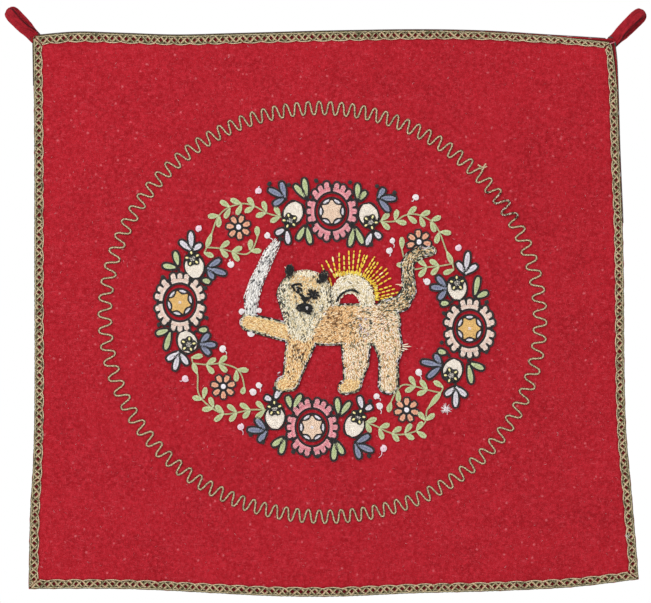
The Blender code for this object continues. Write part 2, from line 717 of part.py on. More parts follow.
def meander_point(step):
    turn, part = divmod(step, len(MEANDER_PHASES))
    phase = math.radians(MEANDER_PHASES[part]) + 2.0 * math.pi * turn
    return oval_point(meander_angle(phase), MEANDER_REACH * math.sin(phase))


def make_meander():
    """The couched cord: a closed ring of three-sided sections."""
    steps = MEANDER_COUNT * len(MEANDER_PHASES)
    profile = ((0.5, 0.0), (-0.5, 0.0), (0.0, 1.0))
    bm = bmesh.new()
    corners = [bm.verts.new((OVAL_RADIUS + wide, high, 0.0)) for wide, high in profile]
    edges = [bm.edges.new((corners[side - 1], corners[side])) for side in range(3)]
    bmesh.ops.spin(bm, geom=corners + edges, cent=(0, 0, 0), axis=(0, 1, 0),
                   angle=2.0 * math.pi, steps=steps, use_merge=True)
    for vert in bm.verts:
        step = round(math.atan2(vert.co.z, vert.co.x) / (2.0 * math.pi) * steps) % steps
        wide = math.hypot(vert.co.x, vert.co.z) - OVAL_RADIUS
        high = vert.co.y
        here = meander_point(step)
        after = meander_point((step + 1) % steps)
        before = meander_point((step - 1) % steps)
        leaving = (after - here).normalized()
        arriving = (here - before).normalized()
        along = (leaving + arriving).normalized()
        side = Vector((along.y, -along.x))
        widen = 1.0 / max(leaving.dot(along), CORD_MOST_WIDENING)
        place = here + side * wide * CORD_WIDTH * widen
        vert.co = Vector((place.x, face_y(place.x, place.y, high * CORD_HEIGHT), place.y))
    add_object("meander_cord", bm, material("metal_cord", METAL_CORD, 0.4, 0.6))


def wreath_place(spot, quarter):
    """x and z on the panel of a spot of one quarter of the wreath."""
    u = spot.u * quarter.across
    v = spot.v * quarter.up
    x = WREATH_X + u * math.cos(WREATH_TURN) + v * math.sin(WREATH_TURN)
    z = WREATH_Z - u * math.sin(WREATH_TURN) + v * math.cos(WREATH_TURN)
    moved = Vector((0.0, 0.0))
    total = 0.0
    for row in DRIFTS:
        away = (row.u - spot.u) ** 2 + (row.v - spot.v) ** 2
        share = 1.0 / (away + DRIFT_REACH ** 2) ** 2
        moved += Vector(getattr(row, quarter.name)) * share
        total += share
    return Vector((x, z)) + moved / total


def prism(bm, outline, height):
    """A flat-topped pad that stands on the cloth's face inside an outline."""
    base = [bm.verts.new((place.x, -FACE, place.y)) for place in outline]
    face = bm.faces.new(base)
    grown = bmesh.ops.extrude_face_region(bm, geom=[face])
    raised = [item for item in grown["geom"] if isinstance(item, bmesh.types.BMVert)]
    bmesh.ops.translate(bm, verts=raised, vec=(0.0, -height, 0.0))


def leaf(bm, base, tip, width, height):
    run = tip - base
    side = Vector((-run.y, run.x)).normalized() * width / 2.0
    outline = [
        base,
        base + run * LEAF_BELLY - side,
        base + run * LEAF_NECK - side * LEAF_NECK_SHARE,
        tip,
        base + run * LEAF_NECK + side * LEAF_NECK_SHARE,
        base + run * LEAF_BELLY + side,
    ]
    prism(bm, outline, height)


def stem(bm, start, end, width, height):
    run = end - start
    side = Vector((-run.y, run.x)).normalized() * width / 2.0
    prism(bm, [start - side, end - side, end + side, start + side], height)


def crowned_pad(bm, places, height, segments):
    """A domed pad round one place, or stretched between two places."""
    points = []
    for x, z, half_width, half_height in places:
        for rise, spread in PAD_LEVELS:
            for number in range(segments):
                angle = 2.0 * math.pi * (number + 0.5) / segments
                spot_x = x + half_width * spread * math.cos(angle)
                spot_z = z + half_height * spread * math.sin(angle)
                points.append(bm.verts.new((spot_x, -FACE - height * rise, spot_z)))
    shell = bmesh.ops.convex_hull(bm, input=points)
    inner = [item for item in shell["geom_interior"] if isinstance(item, bmesh.types.BMVert)]
    bmesh.ops.delete(bm, geom=inner, context="VERTS")


def limb(bm, part, segments):
    ends = ((part.x0, part.z0, part.r0, part.r0), (part.x1, part.z1, part.r1, part.r1))
    crowned_pad(bm, ends, part.height, segments)


def cut_round(made, part, segments):
    """Cut a piece away under and round a limb that is worked over it."""
    wide = part._replace(r0=part.r0 + ROOM_GROW, r1=part.r1 + ROOM_GROW, height=ROOM_HEIGHT)
    bm = bmesh.new()
    limb(bm, wide, segments)
    bmesh.ops.translate(bm, verts=bm.verts[:], vec=(0.0, ROOM_BELOW, 0.0))
    cutter = add_cutter(made.name + "_under_" + part.name, bm, made.data.materials[0])
    boolean(made, cutter, "DIFFERENCE")


def make_room(made):
    for crossing in CROSSINGS:
        if crossing.node == made.name:
            part = next(row for row in LION_LIMBS if row.name == crossing.limb)
            cut_round(made, part, LIMB_SIDES)


def lobed_outline(centre, half_width, half_height, lobes, depth, turn):
    """Outline with round lobes, three points to each lobe."""
    outline = []
    for number in range(lobes * 3):
        angle = 2.0 * math.pi * number / (lobes * 3) + turn
        share = 1.0 - depth if number % 3 == 0 else 1.0
        reach = Vector((half_width * math.cos(angle), half_height * math.sin(angle)))
        outline.append(centre + reach * share)
    return outline


def star_outline(centre, points, outer, inner, turn):
    outline = []
    for number in range(points * 2):
        angle = math.pi * number / points + turn
        radius = inner if number % 2 else outer
        outline.append(centre + Vector((radius * math.cos(angle), radius * math.sin(angle))))
    return outline


def add_sprigs(bm, owner, centre_spot, quarter):
    """Leaves that spring from a bud or a medallion, with their short stem."""
    centre = wreath_place(centre_spot, quarter)
    for sprig in (row for row in SPRIGS if row.owner == owner):
        base = wreath_place(sprig.base, quarter)
        inwards = (centre - base).normalized()
        root = base + inwards * (base - centre).length * STALK_SHARE
        stem(bm, root, base, STEM_WIDTH, LEAF_HEIGHT)
        for tip_spot in sprig.tips:
            tip = wreath_place(tip_spot, quarter)
            start = base + (base - tip).normalized() * LEAF_ROOT
            leaf(bm, start, tip, LEAF_WIDTH, LEAF_HEIGHT)


def make_medallion(name, spot, owner, quarters, star_turn, finish):
    body = bmesh.new()
    centre = wreath_place(spot, quarters[0])
    outline = lobed_outline(centre, MEDALLION_HALF_WIDTH, MEDALLION_HALF_HEIGHT,
                            MEDALLION_LOBES, MEDALLION_LOBE_DEPTH, -WREATH_TURN)
    prism(body, outline, MEDALLION_HEIGHT)
    for quarter in quarters:
        add_sprigs(body, owner, spot, quarter)
    made = add_object(name, body, finish)
    star = bmesh.new()
    prism(star, star_outline(centre, STAR_POINTS, STAR_RADIUS, STAR_WAIST, star_turn), STAR_HEIGHT)
    boolean(made, add_cutter(name + "_star", star, finish), "UNION")
    make_room(made)


def make_bud(name, spot, owner, calyx_spot, quarter, finish):
    body = bmesh.new()
    add_sprigs(body, owner, spot, quarter)
    calyx = wreath_place(calyx_spot, quarter)
    crowned_pad(body, [(calyx.x, calyx.y, CALYX_RADIUS, CALYX_RADIUS)], CALYX_HEIGHT, ROUND_SIDES)
    made = add_object(name, body, finish)
    centre = wreath_place(spot, quarter)
    bud = bmesh.new()
    crowned_pad(bud, [(centre.x, centre.y, BUD_HALF_WIDTH, BUD_HALF_HEIGHT)], BUD_HEIGHT, BUD_SIDES)
    boolean(made, add_cutter(name + "_crown", bud, finish), "UNION")
    make_room(made)


def make_blossom(quarter, finish):
    centre = wreath_place(BLOSSOM, quarter)
    bm = bmesh.new()
    shoulder = PETAL_SHOULDER * BLOSSOM_RADIUS
    radii = (BLOSSOM_RADIUS, shoulder, BLOSSOM_WAIST, shoulder)
    outline = []
    for number in range(BLOSSOM_PETALS * len(radii)):
        angle = 2.0 * math.pi * number / (BLOSSOM_PETALS * len(radii)) + BLOSSOM_TURN
        radius = radii[number % len(radii)]
        outline.append(centre + Vector((radius * math.cos(angle), radius * math.sin(angle))))
    prism(bm, outline, BLOSSOM_HEIGHT)
    name = "blossom_" + quarter.name
    made = add_object(name, bm, finish)
    eye = bmesh.new()
    crowned_pad(eye, [(centre.x, centre.y, BLOSSOM_EYE, BLOSSOM_EYE)], BLOSSOM_EYE_HEIGHT, ROUND_SIDES)
    boolean(made, add_cutter(name + "_eye", eye, finish), "UNION")
    make_room(made)


def walk(places, distance):
    """A point and a direction at a distance along a run of straight lines."""
    left = distance
    for start, end in zip(places, places[1:]):
        run = end - start
        if left <= run.length or end is places[-1]:
            return start + run.normalized() * left, run.normalized()
        left -= run.length
    return places[-1], (places[-1] - places[-2]).normalized()


def turned(direction, angle):
    """A direction in the panel's plane, turned by an angle."""
    x = direction.x * math.cos(angle) - direction.y * math.sin(angle)
    z = direction.x * math.sin(angle) + direction.y * math.cos(angle)
    return Vector((x, z))


def ribbon_outline(places, width):
    """Outline of a ribbon of even width along a run of places."""
    near = []
    far = []
    for index, here in enumerate(places):
        before = places[max(index - 1, 0)]
        after = places[min(index + 1, len(places) - 1)]
        run = (after - before).normalized()
        side = Vector((-run.y, run.x)) * width / 2.0
        near.append(here + side)
        far.append(here - side)
    return near + far[::-1]


def make_vine(quarter, finish):
    leaves = bmesh.new()
    stems = bmesh.new()
    crossed = quarter.name in CROSSED_QUARTERS
    inner_spots = INNER_STEM[:CROSSED_ROWS] if crossed else INNER_STEM
    inner_pairs = INNER_PAIRS[:CROSSED_PAIRS] if crossed else INNER_PAIRS
    singles = OUTER_SINGLES if crossed else OUTER_SINGLES + INNER_SINGLES
    for spots, pairs in ((OUTER_STEM, OUTER_PAIRS), (inner_spots, inner_pairs)):
        places = [wreath_place(spot, quarter) for spot in spots]
        prism(stems, ribbon_outline(places, STEM_WIDTH), LEAF_HEIGHT)
        for distance in pairs:
            base, direction = walk(places, distance)
            for side in (-1, 1):
                tip = base + turned(direction, side * PAIR_LEAF_SPREAD) * PAIR_LEAF_LENGTH
                leaf(leaves, base, tip, LEAF_WIDTH, LEAF_HEIGHT)
    for single in singles:
        base = wreath_place(single.base, quarter)
        leaf(leaves, base, wreath_place(single.tip, quarter), LEAF_WIDTH, LEAF_HEIGHT)
    name = "vine_" + quarter.name
    made = add_object(name, leaves, finish)
    boolean(made, add_cutter(name + "_stems", stems, finish), "UNION")
    make_room(made)


def make_wreath():
    pink = material("pink_silk", PINK_SILK, 0.7, 0.0)
    peach = material("peach_silk", PEACH_SILK, 0.7, 0.0)
    cream = material("cream_silk", CREAM_SILK, 0.7, 0.0)
    green = material("leaf_green_silk", LEAF_GREEN, 0.7, 0.0)
    orange = material("orange_silk", ORANGE_SILK, 0.7, 0.0)
    upper_left, upper_right, lower_left, lower_right = QUARTERS
    make_medallion("medallion_top", MEDALLION_TOP, "medallion_top", (upper_left, upper_right),
                   STAR_UPRIGHT, pink)
    make_medallion("medallion_bottom", MEDALLION_TOP, "medallion_top", (lower_left, lower_right),
                   STAR_UPRIGHT, pink)
    make_medallion("medallion_left", MEDALLION_SIDE, "medallion_side", (upper_left, lower_left),
                   STAR_LEFT, peach)
    make_medallion("medallion_right", MEDALLION_SIDE, "medallion_side", (upper_right, lower_right),
                   STAR_RIGHT, peach)
    for quarter in QUARTERS:
        make_bud("bud_side_" + quarter.name, BUD_SIDE, "bud_side", CALYX_SIDE, quarter, cream)
        make_bud("bud_top_" + quarter.name, BUD_TOP, "bud_top", CALYX_TOP, quarter, cream)
        make_blossom(quarter, orange)
        make_vine(quarter, green)


def make_lion():
    tan = material("lion_tan", LION_TAN, 0.9, 0.0)
    body = bmesh.new()
    for part in LION_LIMBS:
        limb(body, part, LIMB_SIDES)
    made = add_object("lion_body", body, tan)
    trunk = bmesh.new()
    limb(trunk, LION_TRUNK, LIMB_SIDES)
    boolean(made, add_cutter("lion_trunk", trunk, tan), "UNION")
    cut_round(made, MANE, MANE_SIDES)

    cream = material("mane_cream", MANE_CREAM, 0.9, 0.0)
    pads = bmesh.new()
    for part in FACE_PADS:
        limb(pads, part, LIMB_SIDES)
    head = add_object("lion_mane", pads, cream)
    mane = bmesh.new()
    limb(mane, MANE, MANE_SIDES)
    boolean(head, add_cutter("mane_pad", mane, cream), "UNION")


def arch(middle, half_width, rise, steps):
    """Points of a half oval from its right foot over to its left foot."""
    places = []
    for number in range(steps + 1):
        angle = math.pi * number / steps
        across = middle + half_width * math.cos(angle)
        places.append(Vector((across, SUN_Z + rise * math.sin(angle))))
    return places


def make_sun():
    outer = arch(SUN_X, SUN_HALF_WIDTH, SUN_RISE, SUN_STEPS)
    inner = arch(SUN_MOUTH_X, SUN_MOUTH_HALF_WIDTH, SUN_MOUTH_RISE, SUN_MOUTH_STEPS)
    bm = bmesh.new()
    prism(bm, outer + inner[::-1], SUN_HEIGHT)
    made = add_object("sun_arch", bm, material("sun_cream", SUN_CREAM, 0.9, 0.0))
    cut_round(made, MANE, MANE_SIDES)


def make_sword():
    near = []
    far = []
    for row, half in zip(SWORD_BLADE, SWORD_HALF_WIDTHS):
        slope = curve_at(SWORD_BLADE, row.along + 1.0) - curve_at(SWORD_BLADE, row.along - 1.0)
        side = Vector((2.0, -slope)).normalized() * half
        middle = Vector((row.across, row.along))
        near.append(middle - side)
        far.append(middle + side)
    bm = bmesh.new()
    prism(bm, near + far[::-1], SWORD_HEIGHT)
    add_object("sword", bm, material("blade_white", BLADE_WHITE, 0.9, 0.0))


def main():
    clear_scene()
    make_cloth()
    make_braids()
    loop_finish = material("loop_red", LOOP_RED, 0.9, 0.0)
    for loop in LOOPS:
        make_loop(loop, loop_finish)
    make_meander()
    make_wreath()
    make_lion()
    make_sun()
    make_sword()


main()
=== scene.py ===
"""Looks of the embroidered wall hanging.

The felted red panel, its metal lace, hanging loops and couched cord, the
chain-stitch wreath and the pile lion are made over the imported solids.
Tables are in millimetres: x across, z up, and a height above the panel's
worked face. Finished meshes are in metres.
"""

import math
import random
from collections import namedtuple

import bmesh
import bpy
import numpy as np
from mathutils import Matrix, Vector


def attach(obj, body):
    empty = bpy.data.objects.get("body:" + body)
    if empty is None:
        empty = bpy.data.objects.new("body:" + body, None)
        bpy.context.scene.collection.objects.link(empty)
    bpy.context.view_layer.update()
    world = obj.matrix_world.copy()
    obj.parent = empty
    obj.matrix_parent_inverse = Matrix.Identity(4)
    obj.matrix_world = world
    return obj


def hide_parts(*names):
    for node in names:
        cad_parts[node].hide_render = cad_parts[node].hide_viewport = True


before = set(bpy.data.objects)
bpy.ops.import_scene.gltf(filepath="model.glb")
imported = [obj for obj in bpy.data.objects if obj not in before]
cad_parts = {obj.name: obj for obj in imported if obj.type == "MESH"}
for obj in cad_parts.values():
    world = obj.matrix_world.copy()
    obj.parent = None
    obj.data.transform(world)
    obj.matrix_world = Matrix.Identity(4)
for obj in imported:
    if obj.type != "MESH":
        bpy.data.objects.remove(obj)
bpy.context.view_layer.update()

MM = 0.001

# Cloth, as in the solids
CLOTH_THICK = 2.0
PANEL_WIDTH = 590.0
PANEL_HEIGHT = 553.0
GAP = 0.3
FACE = CLOTH_THICK / 2 + GAP


def listed(kind, *rows):
    """Rows of a table, each made into the same kind of record."""
    return tuple(kind(*row) for row in rows)


Edge = namedtuple("Edge", "along across")

TOP_EDGE = listed(
    Edge, (-293.0, -4.0), (-250.0, -0.4), (-208.0, -1.4), (-150.0, -3.3), (-90.0, -1.6), (0.0, 0.6),
    (90.0, 2.0), (160.0, 0.9), (222.0, -3.2), (288.0, -7.5),
)
BOTTOM_EDGE = listed(
    Edge, (-297.5, -557.0), (-208.0, -556.8), (-116.0, -561.0), (-50.0, -564.0), (10.0, -564.4),
    (90.0, -561.4), (184.0, -558.4), (250.0, -555.0), (313.0, -547.5),
)
LEFT_EDGE = listed(
    Edge, (4.0, -293.0), (75.0, -292.2), (180.0, -291.6), (370.0, -291.6), (430.0, -292.9),
    (480.0, -295.8), (557.0, -297.5),
)
RIGHT_EDGE = listed(
    Edge, (7.5, 288.0), (31.0, 290.6), (110.0, 293.4), (200.0, 297.0), (330.0, 298.6), (400.0, 300.4),
    (460.0, 305.6), (510.0, 310.0), (547.5, 313.0),
)

# Soft waves that start at an edge and die away inwards, and folds along
# lines on the panel.
Wave = namedtuple("Wave", "edge length phase height reach")

WAVES = listed(
    Wave, ("top", 226.0, 0.6, 1.7, 62.0), ("top", 131.0, 2.2, 0.7, 40.0),
    ("bottom", 212.0, 2.4, 2.3, 78.0), ("bottom", 124.0, 0.3, 0.9, 46.0), ("left", 248.0, 1.1, 1.6, 62.0),
    ("right", 196.0, 3.4, 1.9, 66.0),
)

Fold = namedtuple("Fold", "x0 z0 x1 z1 width height")

FOLDS = listed(
    Fold, (276.0, -306.0, 257.0, -372.0, 10.0, -1.5), (287.0, -312.0, 281.0, -330.0, 9.0, 0.9),
    (-222.0, -530.0, -50.0, -545.0, 12.0, 2.0), (-283.0, -12.0, -246.0, -58.0, 22.0, 1.6),
    (279.0, -15.0, 243.0, -62.0, 22.0, 1.5), (300.0, -538.0, 262.0, -497.0, 26.0, 2.4),
    (-286.0, -546.0, -250.0, -510.0, 26.0, 2.0),
)
# Sharp creases inside the folds, seen only in the dressed cloth.
CREASES = listed(
    Fold, (275.0, -310.0, 258.0, -369.0, 2.6, -0.45), (285.0, -316.0, 282.5, -327.0, 2.4, 0.35),
    (-214.0, -531.5, -60.0, -543.5, 4.0, 0.3), (-150.0, -40.0, -92.0, -52.0, 7.0, 0.3),
    (150.0, -500.0, 214.0, -489.0, 8.0, 0.35),
)

CALM_X = 196.0
CALM_Z = 163.0
CALM_FADE = 0.42

# Shallow unevenness of the felt: direction, length and height of each ripple.
Ripple = namedtuple("Ripple", "turn length phase height")

RIPPLES = listed(
    Ripple, (0.35, 46.0, 0.4, 0.07), (1.25, 31.0, 2.1, 0.06), (2.15, 23.0, 4.0, 0.04),
    (2.75, 61.0, 1.3, 0.08),
)

Lace = namedtuple("Lace", "share margin width")

LACE_TOP = listed(Lace, (0.0, 1.2, 9.0), (0.55, 1.2, 9.0), (0.9, 1.6, 6.6), (1.0, 4.2, 5.6))
LACE_BOTTOM = listed(Lace, (0.0, 1.2, 8.6), (0.5, 1.0, 8.6), (1.0, 1.2, 8.2))
LACE_LEFT = listed(Lace, (0.0, 1.2, 8.4), (0.5, 1.0, 8.6), (1.0, 1.2, 8.6))
LACE_RIGHT = listed(Lace, (0.0, 4.6, 6.4), (0.09, 1.6, 7.6), (0.5, 1.2, 8.2), (1.0, 1.2, 8.2))

Loop = namedtuple("Loop", "name x z lean_x lean_z length")

LOOPS = listed(
    Loop, ("loop_left", -287.5, -9.0, -0.695, 0.719, 44.0),
    ("loop_right", 282.7, -13.7, 0.715, 0.700, 49.0),
)
LOOP_TAPE_WIDTH = 12.2
LOOP_TAPE_THICK = 1.8
LOOP_HALF_EYE = 8.2
LOOP_TURN = math.radians(20.0)
LOOP_OPEN_START = 8.0
LOOP_OPEN_END = 19.0
LOOP_LIFT = 0.7
LOOP_ROOT_ANGLE = math.radians(24.0)
# The tape's edges roll in where it turns back, so the end looks round.
LOOP_END_NARROWING = 0.62
LOOP_END_SPAN = 0.34

Swell = namedtuple("Swell", "order cosine sine")

OVAL_X = -4.0
OVAL_Z = -278.0
OVAL_RADIUS = 210.8
OVAL_SWELLS = listed(Swell, (1, 0.4, -4.0), (2, 6.6, -1.2), (3, 0.0, -1.6))
MEANDER_COUNT = 100
MEANDER_CROWDING = 0.16
MEANDER_REACH = 6.9

WREATH_X = -2.6
WREATH_Z = -285.0
WREATH_TURN = math.radians(5.2)

Spot = namedtuple("Spot", "u v")
Quarter = namedtuple("Quarter", "name across up")

QUARTERS = listed(
    Quarter, ("upper_left", 1, 1), ("upper_right", -1, 1), ("lower_left", 1, -1), ("lower_right", -1, -1),
)


# The quarters were drawn by eye. Near each spot, how far across and up the
# work stands off its mirrored place in every quarter.
Drift = namedtuple("Drift", "u v upper_left upper_right lower_left lower_right")

DRIFTS = listed(
    Drift, (0.0, 107.5, (-1.4, -1.5), (-1.4, -1.5), (-1.5, -3.2), (-1.5, -3.2)),
    (-144.5, 0.0, (0.5, 1.5), (2.2, 1.6), (0.5, 1.5), (2.2, 1.6)),
    (-38.8, 104.5, (-0.8, -3.3), (-3.0, 1.7), (-0.2, -0.2), (1.7, -1.2)),
    (-42.6, 91.0, (0.5, 1.5), (-3.5, 7.9), (1.9, -4.3), (0.7, -4.9)),
    (-132.8, 39.3, (-0.2, -1.2), (-2.1, 1.4), (-0.3, 2.4), (0.6, -2.0)),
    (-136.2, 50.0, (0.0, 0.0), (-6.5, -0.5), (5.3, 7.2), (-3.8, 0.9)),
    (-91.5, 82.2, (-1.2, -0.4), (-3.1, 1.2), (-1.6, 4.0), (-0.6, -2.8)),
    (-137.3, 53.8, (0.0, 0.0), (0.5, 2.2), (-3.1, 6.3), (0.8, -3.9)),
    (-139.8, 73.1, (0.0, 0.0), (-1.2, 4.9), (-2.9, 6.9), (-0.6, -4.5)),
    (-120.1, 38.3, (0.0, 0.0), (0.5, 1.2), (-0.4, 0.0), (1.8, 0.5)),
    (-100.9, 34.0, (0.0, 0.0), (3.8, 5.2), (-3.8, -3.2), (0.4, -1.5)),
    (-120.0, 25.0, (0.0, 0.0), (-0.2, -0.8), (1.4, 1.4), (1.7, 1.2)),
    (-48.7, 115.4, (0.0, 0.0), (-4.2, 8.5), (2.1, -3.5), (-6.4, -7.5)),
    (-60.0, 120.0, (0.0, 0.0), (-4.8, 2.5), (1.4, 3.5), (-5.4, -6.4)),
    (-44.7, 85.3, (0.0, 0.0), (-3.1, 5.5), (2.8, -3.3), (2.8, -5.0)),
    (-48.0, 74.0, (0.0, 0.0), (-5.1, 6.5), (3.8, -8.0), (0.6, -6.2)),
    (-148.4, 35.7, (0.0, 0.0), (-0.1, -3.4), (-1.4, 10.1), (0.1, 3.9)),
    (-159.0, 44.0, (0.0, 0.0), (-3.4, 3.8), (0.2, 4.2), (-0.3, -0.8)),
    (-29.2, 117.8, (2.2, -2.8), (-5.3, 0.1), (1.9, -4.5), (-6.9, -2.8)),
    (-36.4, 132.4, (0.0, 0.0), (-10.2, 0.6), (1.4, -4.1), (-9.3, -4.7)),
    (-25.7, 90.7, (0.0, 0.0), (-2.9, 3.5), (2.2, -5.4), (-1.9, -7.3)),
    (-26.1, 73.2, (0.0, 0.0), (0.5, 1.0), (3.6, -8.0), (0.8, -8.0)),
    (-61.0, 97.5, (1.5, -0.4), (-4.5, 3.5), (3.8, -0.6), (-4.6, -5.0)),
    (-85.0, 104.5, (1.2, 0.2), (-6.5, 5.8), (-0.5, 0.0), (-5.5, -4.4)),
    (-109.0, 97.0, (-1.5, -3.0), (-4.8, 2.6), (-4.3, 6.7), (-2.3, -2.3)),
    (-118.6, 74.0, (0.0, 0.0), (-1.9, 3.5), (-1.0, 5.1), (-7.3, -7.6)),
    (-124.0, 56.0, (0.0, 0.0), (1.5, 6.0), (-3.0, 1.0), (0.3, -6.2)),
    (-102.5, 57.6, (-0.3, 0.2), (3.0, 2.2), (-2.2, 1.0), (2.0, -4.6)),
    (-77.0, 62.0, (0.5, 0.3), (0.0, 0.0), (0.3, -4.0), (2.4, -5.4)),
)
DRIFT_REACH = 2.0


def srgb(code):
    """Linear colour from six hexadecimal digits."""
    parts = [int(code[place:place + 2], 16) / 255.0 for place in (0, 2, 4)]
    return tuple(part / 12.92 if part <= 0.04045 else ((part + 0.055) / 1.055) ** 2.4
                 for part in parts)


def colours(*parts):
    """Thread colours, each with how often it is used."""
    return tuple((srgb(code), weight) for code, weight in parts)


BLACK = srgb("17171A")
SPRUCE = srgb("19201F")
LEAF_EDGE = srgb("D0DBAC")
LEAF_HEART = srgb("BDCB90")
STEM_GREEN = srgb("C3C796")
WHITE_SILK = srgb("F1EEF5")
WHITE_HEART = srgb("D9D3DE")
BLUE_EDGE = srgb("9CA3BC")
BLUE_HEART = srgb("7F87A6")
BUD_CREAM = srgb("FAF2E6")
PINK_EDGE = srgb("F7B0B8")
PINK_HEART = srgb("EF99A4")
PEACH_EDGE = srgb("FBEADF")
PEACH_HEART = srgb("F7DCCE")
STAR_GOLD = srgb("EFC479")
STAR_CREAM = srgb("F5DAC2")
BLOSSOM_EDGE = srgb("F6BC9C")
BLOSSOM_HEART = srgb("EFA682")
SEED_YELLOW = srgb("F6ECA8")
COIL_WHITE = srgb("EBE3E6")
COIL_PINK = srgb("EBCFDC")
RAY_TINTS = colours(("EFC83A", 6), ("F5E05A", 3), ("F6EFA6", 1.2))
METAL_GOLD = srgb("98865C")
METAL_LIGHT = srgb("E6D8B4")
METAL_OLIVE = srgb("6B6844")
METAL_PINK = srgb("CBA48A")
# Dark metal thread of the lace, and the colour of the painted shadow tube under the couched cord
DARK_METAL_AND_SHADOW = srgb("3E3A26")
CORD_BEIGE = srgb("CDB796")
LINT_PINK = srgb("CC5560")


# Panel

def smooth_share(value):
    share = np.clip(value, 0.0, 1.0)
    return share * share * (3.0 - 2.0 * share)


def row_slope(rows, index):
    before = rows[max(index - 1, 0)]
    after = rows[min(index + 1, len(rows) - 1)]
    return (after.across - before.across) / (after.along - before.along)


def curve_at(rows, along):
    """Where a smooth curve through the rows stands at a place along it."""
    index = 0
    while index < len(rows) - 2 and along > rows[index + 1].along:
        index += 1
    start = rows[index]
    end = rows[index + 1]
    span = end.along - start.along
    part = (along - start.along) / span
    rise = end.across - start.across
    leaving = row_slope(rows, index) * span
    arriving = row_slope(rows, index + 1) * span
    blend = part * part * (3.0 - 2.0 * part) * rise
    blend += part * (1.0 - part) ** 2 * leaving
    blend -= part * part * (1.0 - part) * arriving
    return start.across + blend


def between(rows, share):
    return rows[0].along + (rows[-1].along - rows[0].along) * share


def panel_point(across, down):
    """x and z on the panel at a share of its width and of its height."""
    top_x = between(TOP_EDGE, across)
    top = Vector((top_x, curve_at(TOP_EDGE, top_x)))
    bottom_x = between(BOTTOM_EDGE, across)
    bottom = Vector((bottom_x, curve_at(BOTTOM_EDGE, bottom_x)))
    left_z = between(LEFT_EDGE, down)
    left = Vector((curve_at(LEFT_EDGE, left_z), -left_z))
    right_z = between(RIGHT_EDGE, down)
    right = Vector((curve_at(RIGHT_EDGE, right_z), -right_z))
    upper = Vector(TOP_EDGE[0]).lerp(Vector(TOP_EDGE[-1]), across)
    lower = Vector(BOTTOM_EDGE[0]).lerp(Vector(BOTTOM_EDGE[-1]), across)
    ruled = top.lerp(bottom, down) + left.lerp(right, across)
    return ruled - upper.lerp(lower, down)


def wave_height(wave, x, z):
    places = {
        "top": (-z, x),
        "bottom": (z + PANEL_HEIGHT + 8.0, x),
        "left": (x - LEFT_EDGE[0].across, z),
        "right": (RIGHT_EDGE[0].across + 10.0 - x, z),
    }
    inwards, along = places[wave.edge]
    fade = np.exp(-(inwards / wave.reach) ** 2)
    return wave.height * fade * np.sin(2.0 * math.pi * along / wave.length + wave.phase)


def fold_height(fold, x, z):
    run_x = fold.x1 - fold.x0
    run_z = fold.z1 - fold.z0
    length = run_x * run_x + run_z * run_z
    share = np.clip(((x - fold.x0) * run_x + (z - fold.z0) * run_z) / length, 0.0, 1.0)
    away_x = x - fold.x0 - run_x * share
    away_z = z - fold.z0 - run_z * share
    return fold.height * np.exp(-(away_x * away_x + away_z * away_z) / fold.width ** 2)


def relief(x, z):
    """How far the cloth stands towards the viewer at places on the panel."""
    ring = np.hypot((x - WREATH_X) / CALM_X, (z - WREATH_Z) / CALM_Z)
    loose = smooth_share((ring - 1.0) / CALM_FADE)
    height = sum(wave_height(wave, x, z) for wave in WAVES)
    height = height + sum(fold_height(fold, x, z) for fold in FOLDS + CREASES)
    ripple = sum(row.height * np.sin((x * math.cos(row.turn) + z * math.sin(row.turn)) * 2.0 * math.pi
                                     / row.length + row.phase) for row in RIPPLES)
    return loose * height + ripple


def to_panel(mesh):
    """Lay a mesh in x, -height and z, in millimetres, on the panel's face."""
    count = len(mesh.vertices)
    places = np.empty(count * 3)
    mesh.vertices.foreach_get("co", places)
    places = places.reshape(-1, 3)
    places[:, 1] -= FACE + relief(places[:, 0], places[:, 2])
    places *= MM
    mesh.vertices.foreach_set("co", places.ravel())
    mesh.update()


# Materials

def new_finish(name, roughness, metallic=0.0, sheen=0.0, specular=0.3):
    finish = bpy.data.materials.new(name)
    finish.use_nodes = True
    shader = finish.node_tree.nodes["Principled BSDF"]
    shader.inputs["Roughness"].default_value = roughness
    shader.inputs["Metallic"].default_value = metallic
    shader.inputs["Sheen Weight"].default_value = sheen
    shader.inputs["Sheen Roughness"].default_value = 0.5
    shader.inputs["Specular IOR Level"].default_value = specular
    return finish, shader


def link_or_set(finish, socket, value):
    """Link a socket to another node's output, or give it a plain value."""
    if isinstance(value, bpy.types.NodeSocket):
        finish.node_tree.links.new(value, socket)
    elif isinstance(value, tuple) and len(value) == 3 and socket.type == "RGBA":
        socket.default_value = (*value, 1.0)
    else:
        socket.default_value = value


def add_node(finish, kind, settings=None, **sockets):
    """A node with its settings, and its sockets set or linked by name."""
    node = finish.node_tree.nodes.new("ShaderNode" + kind)
    for name, value in (settings or {}).items():
        setattr(node, name, value)
    for name, value in sockets.items():
        wanted = name.replace("_", " ").title()
        socket = next(item for item in node.inputs if item.name.title() == wanted and item.enabled)
        link_or_set(finish, socket, value)
    return node


def object_places(finish, scale, stretch=(1.0, 1.0, 1.0), turn=0.0):
    """Object coordinates in units of 1/scale metre, stretched and turned."""
    source = add_node(finish, "TexCoord")
    mapping = add_node(finish, "Mapping", vector=source.outputs["Object"])
    mapping.inputs["Rotation"].default_value = (0.0, turn, 0.0)
    mapping.inputs["Scale"].default_value = tuple(scale * part for part in stretch)
    return mapping.outputs["Vector"]


def noise(finish, places, scale, detail=2.0, roughness=0.55):
    made = add_node(finish, "TexNoise", vector=places, scale=scale, detail=detail, roughness=roughness)
    return made.outputs["Fac"]


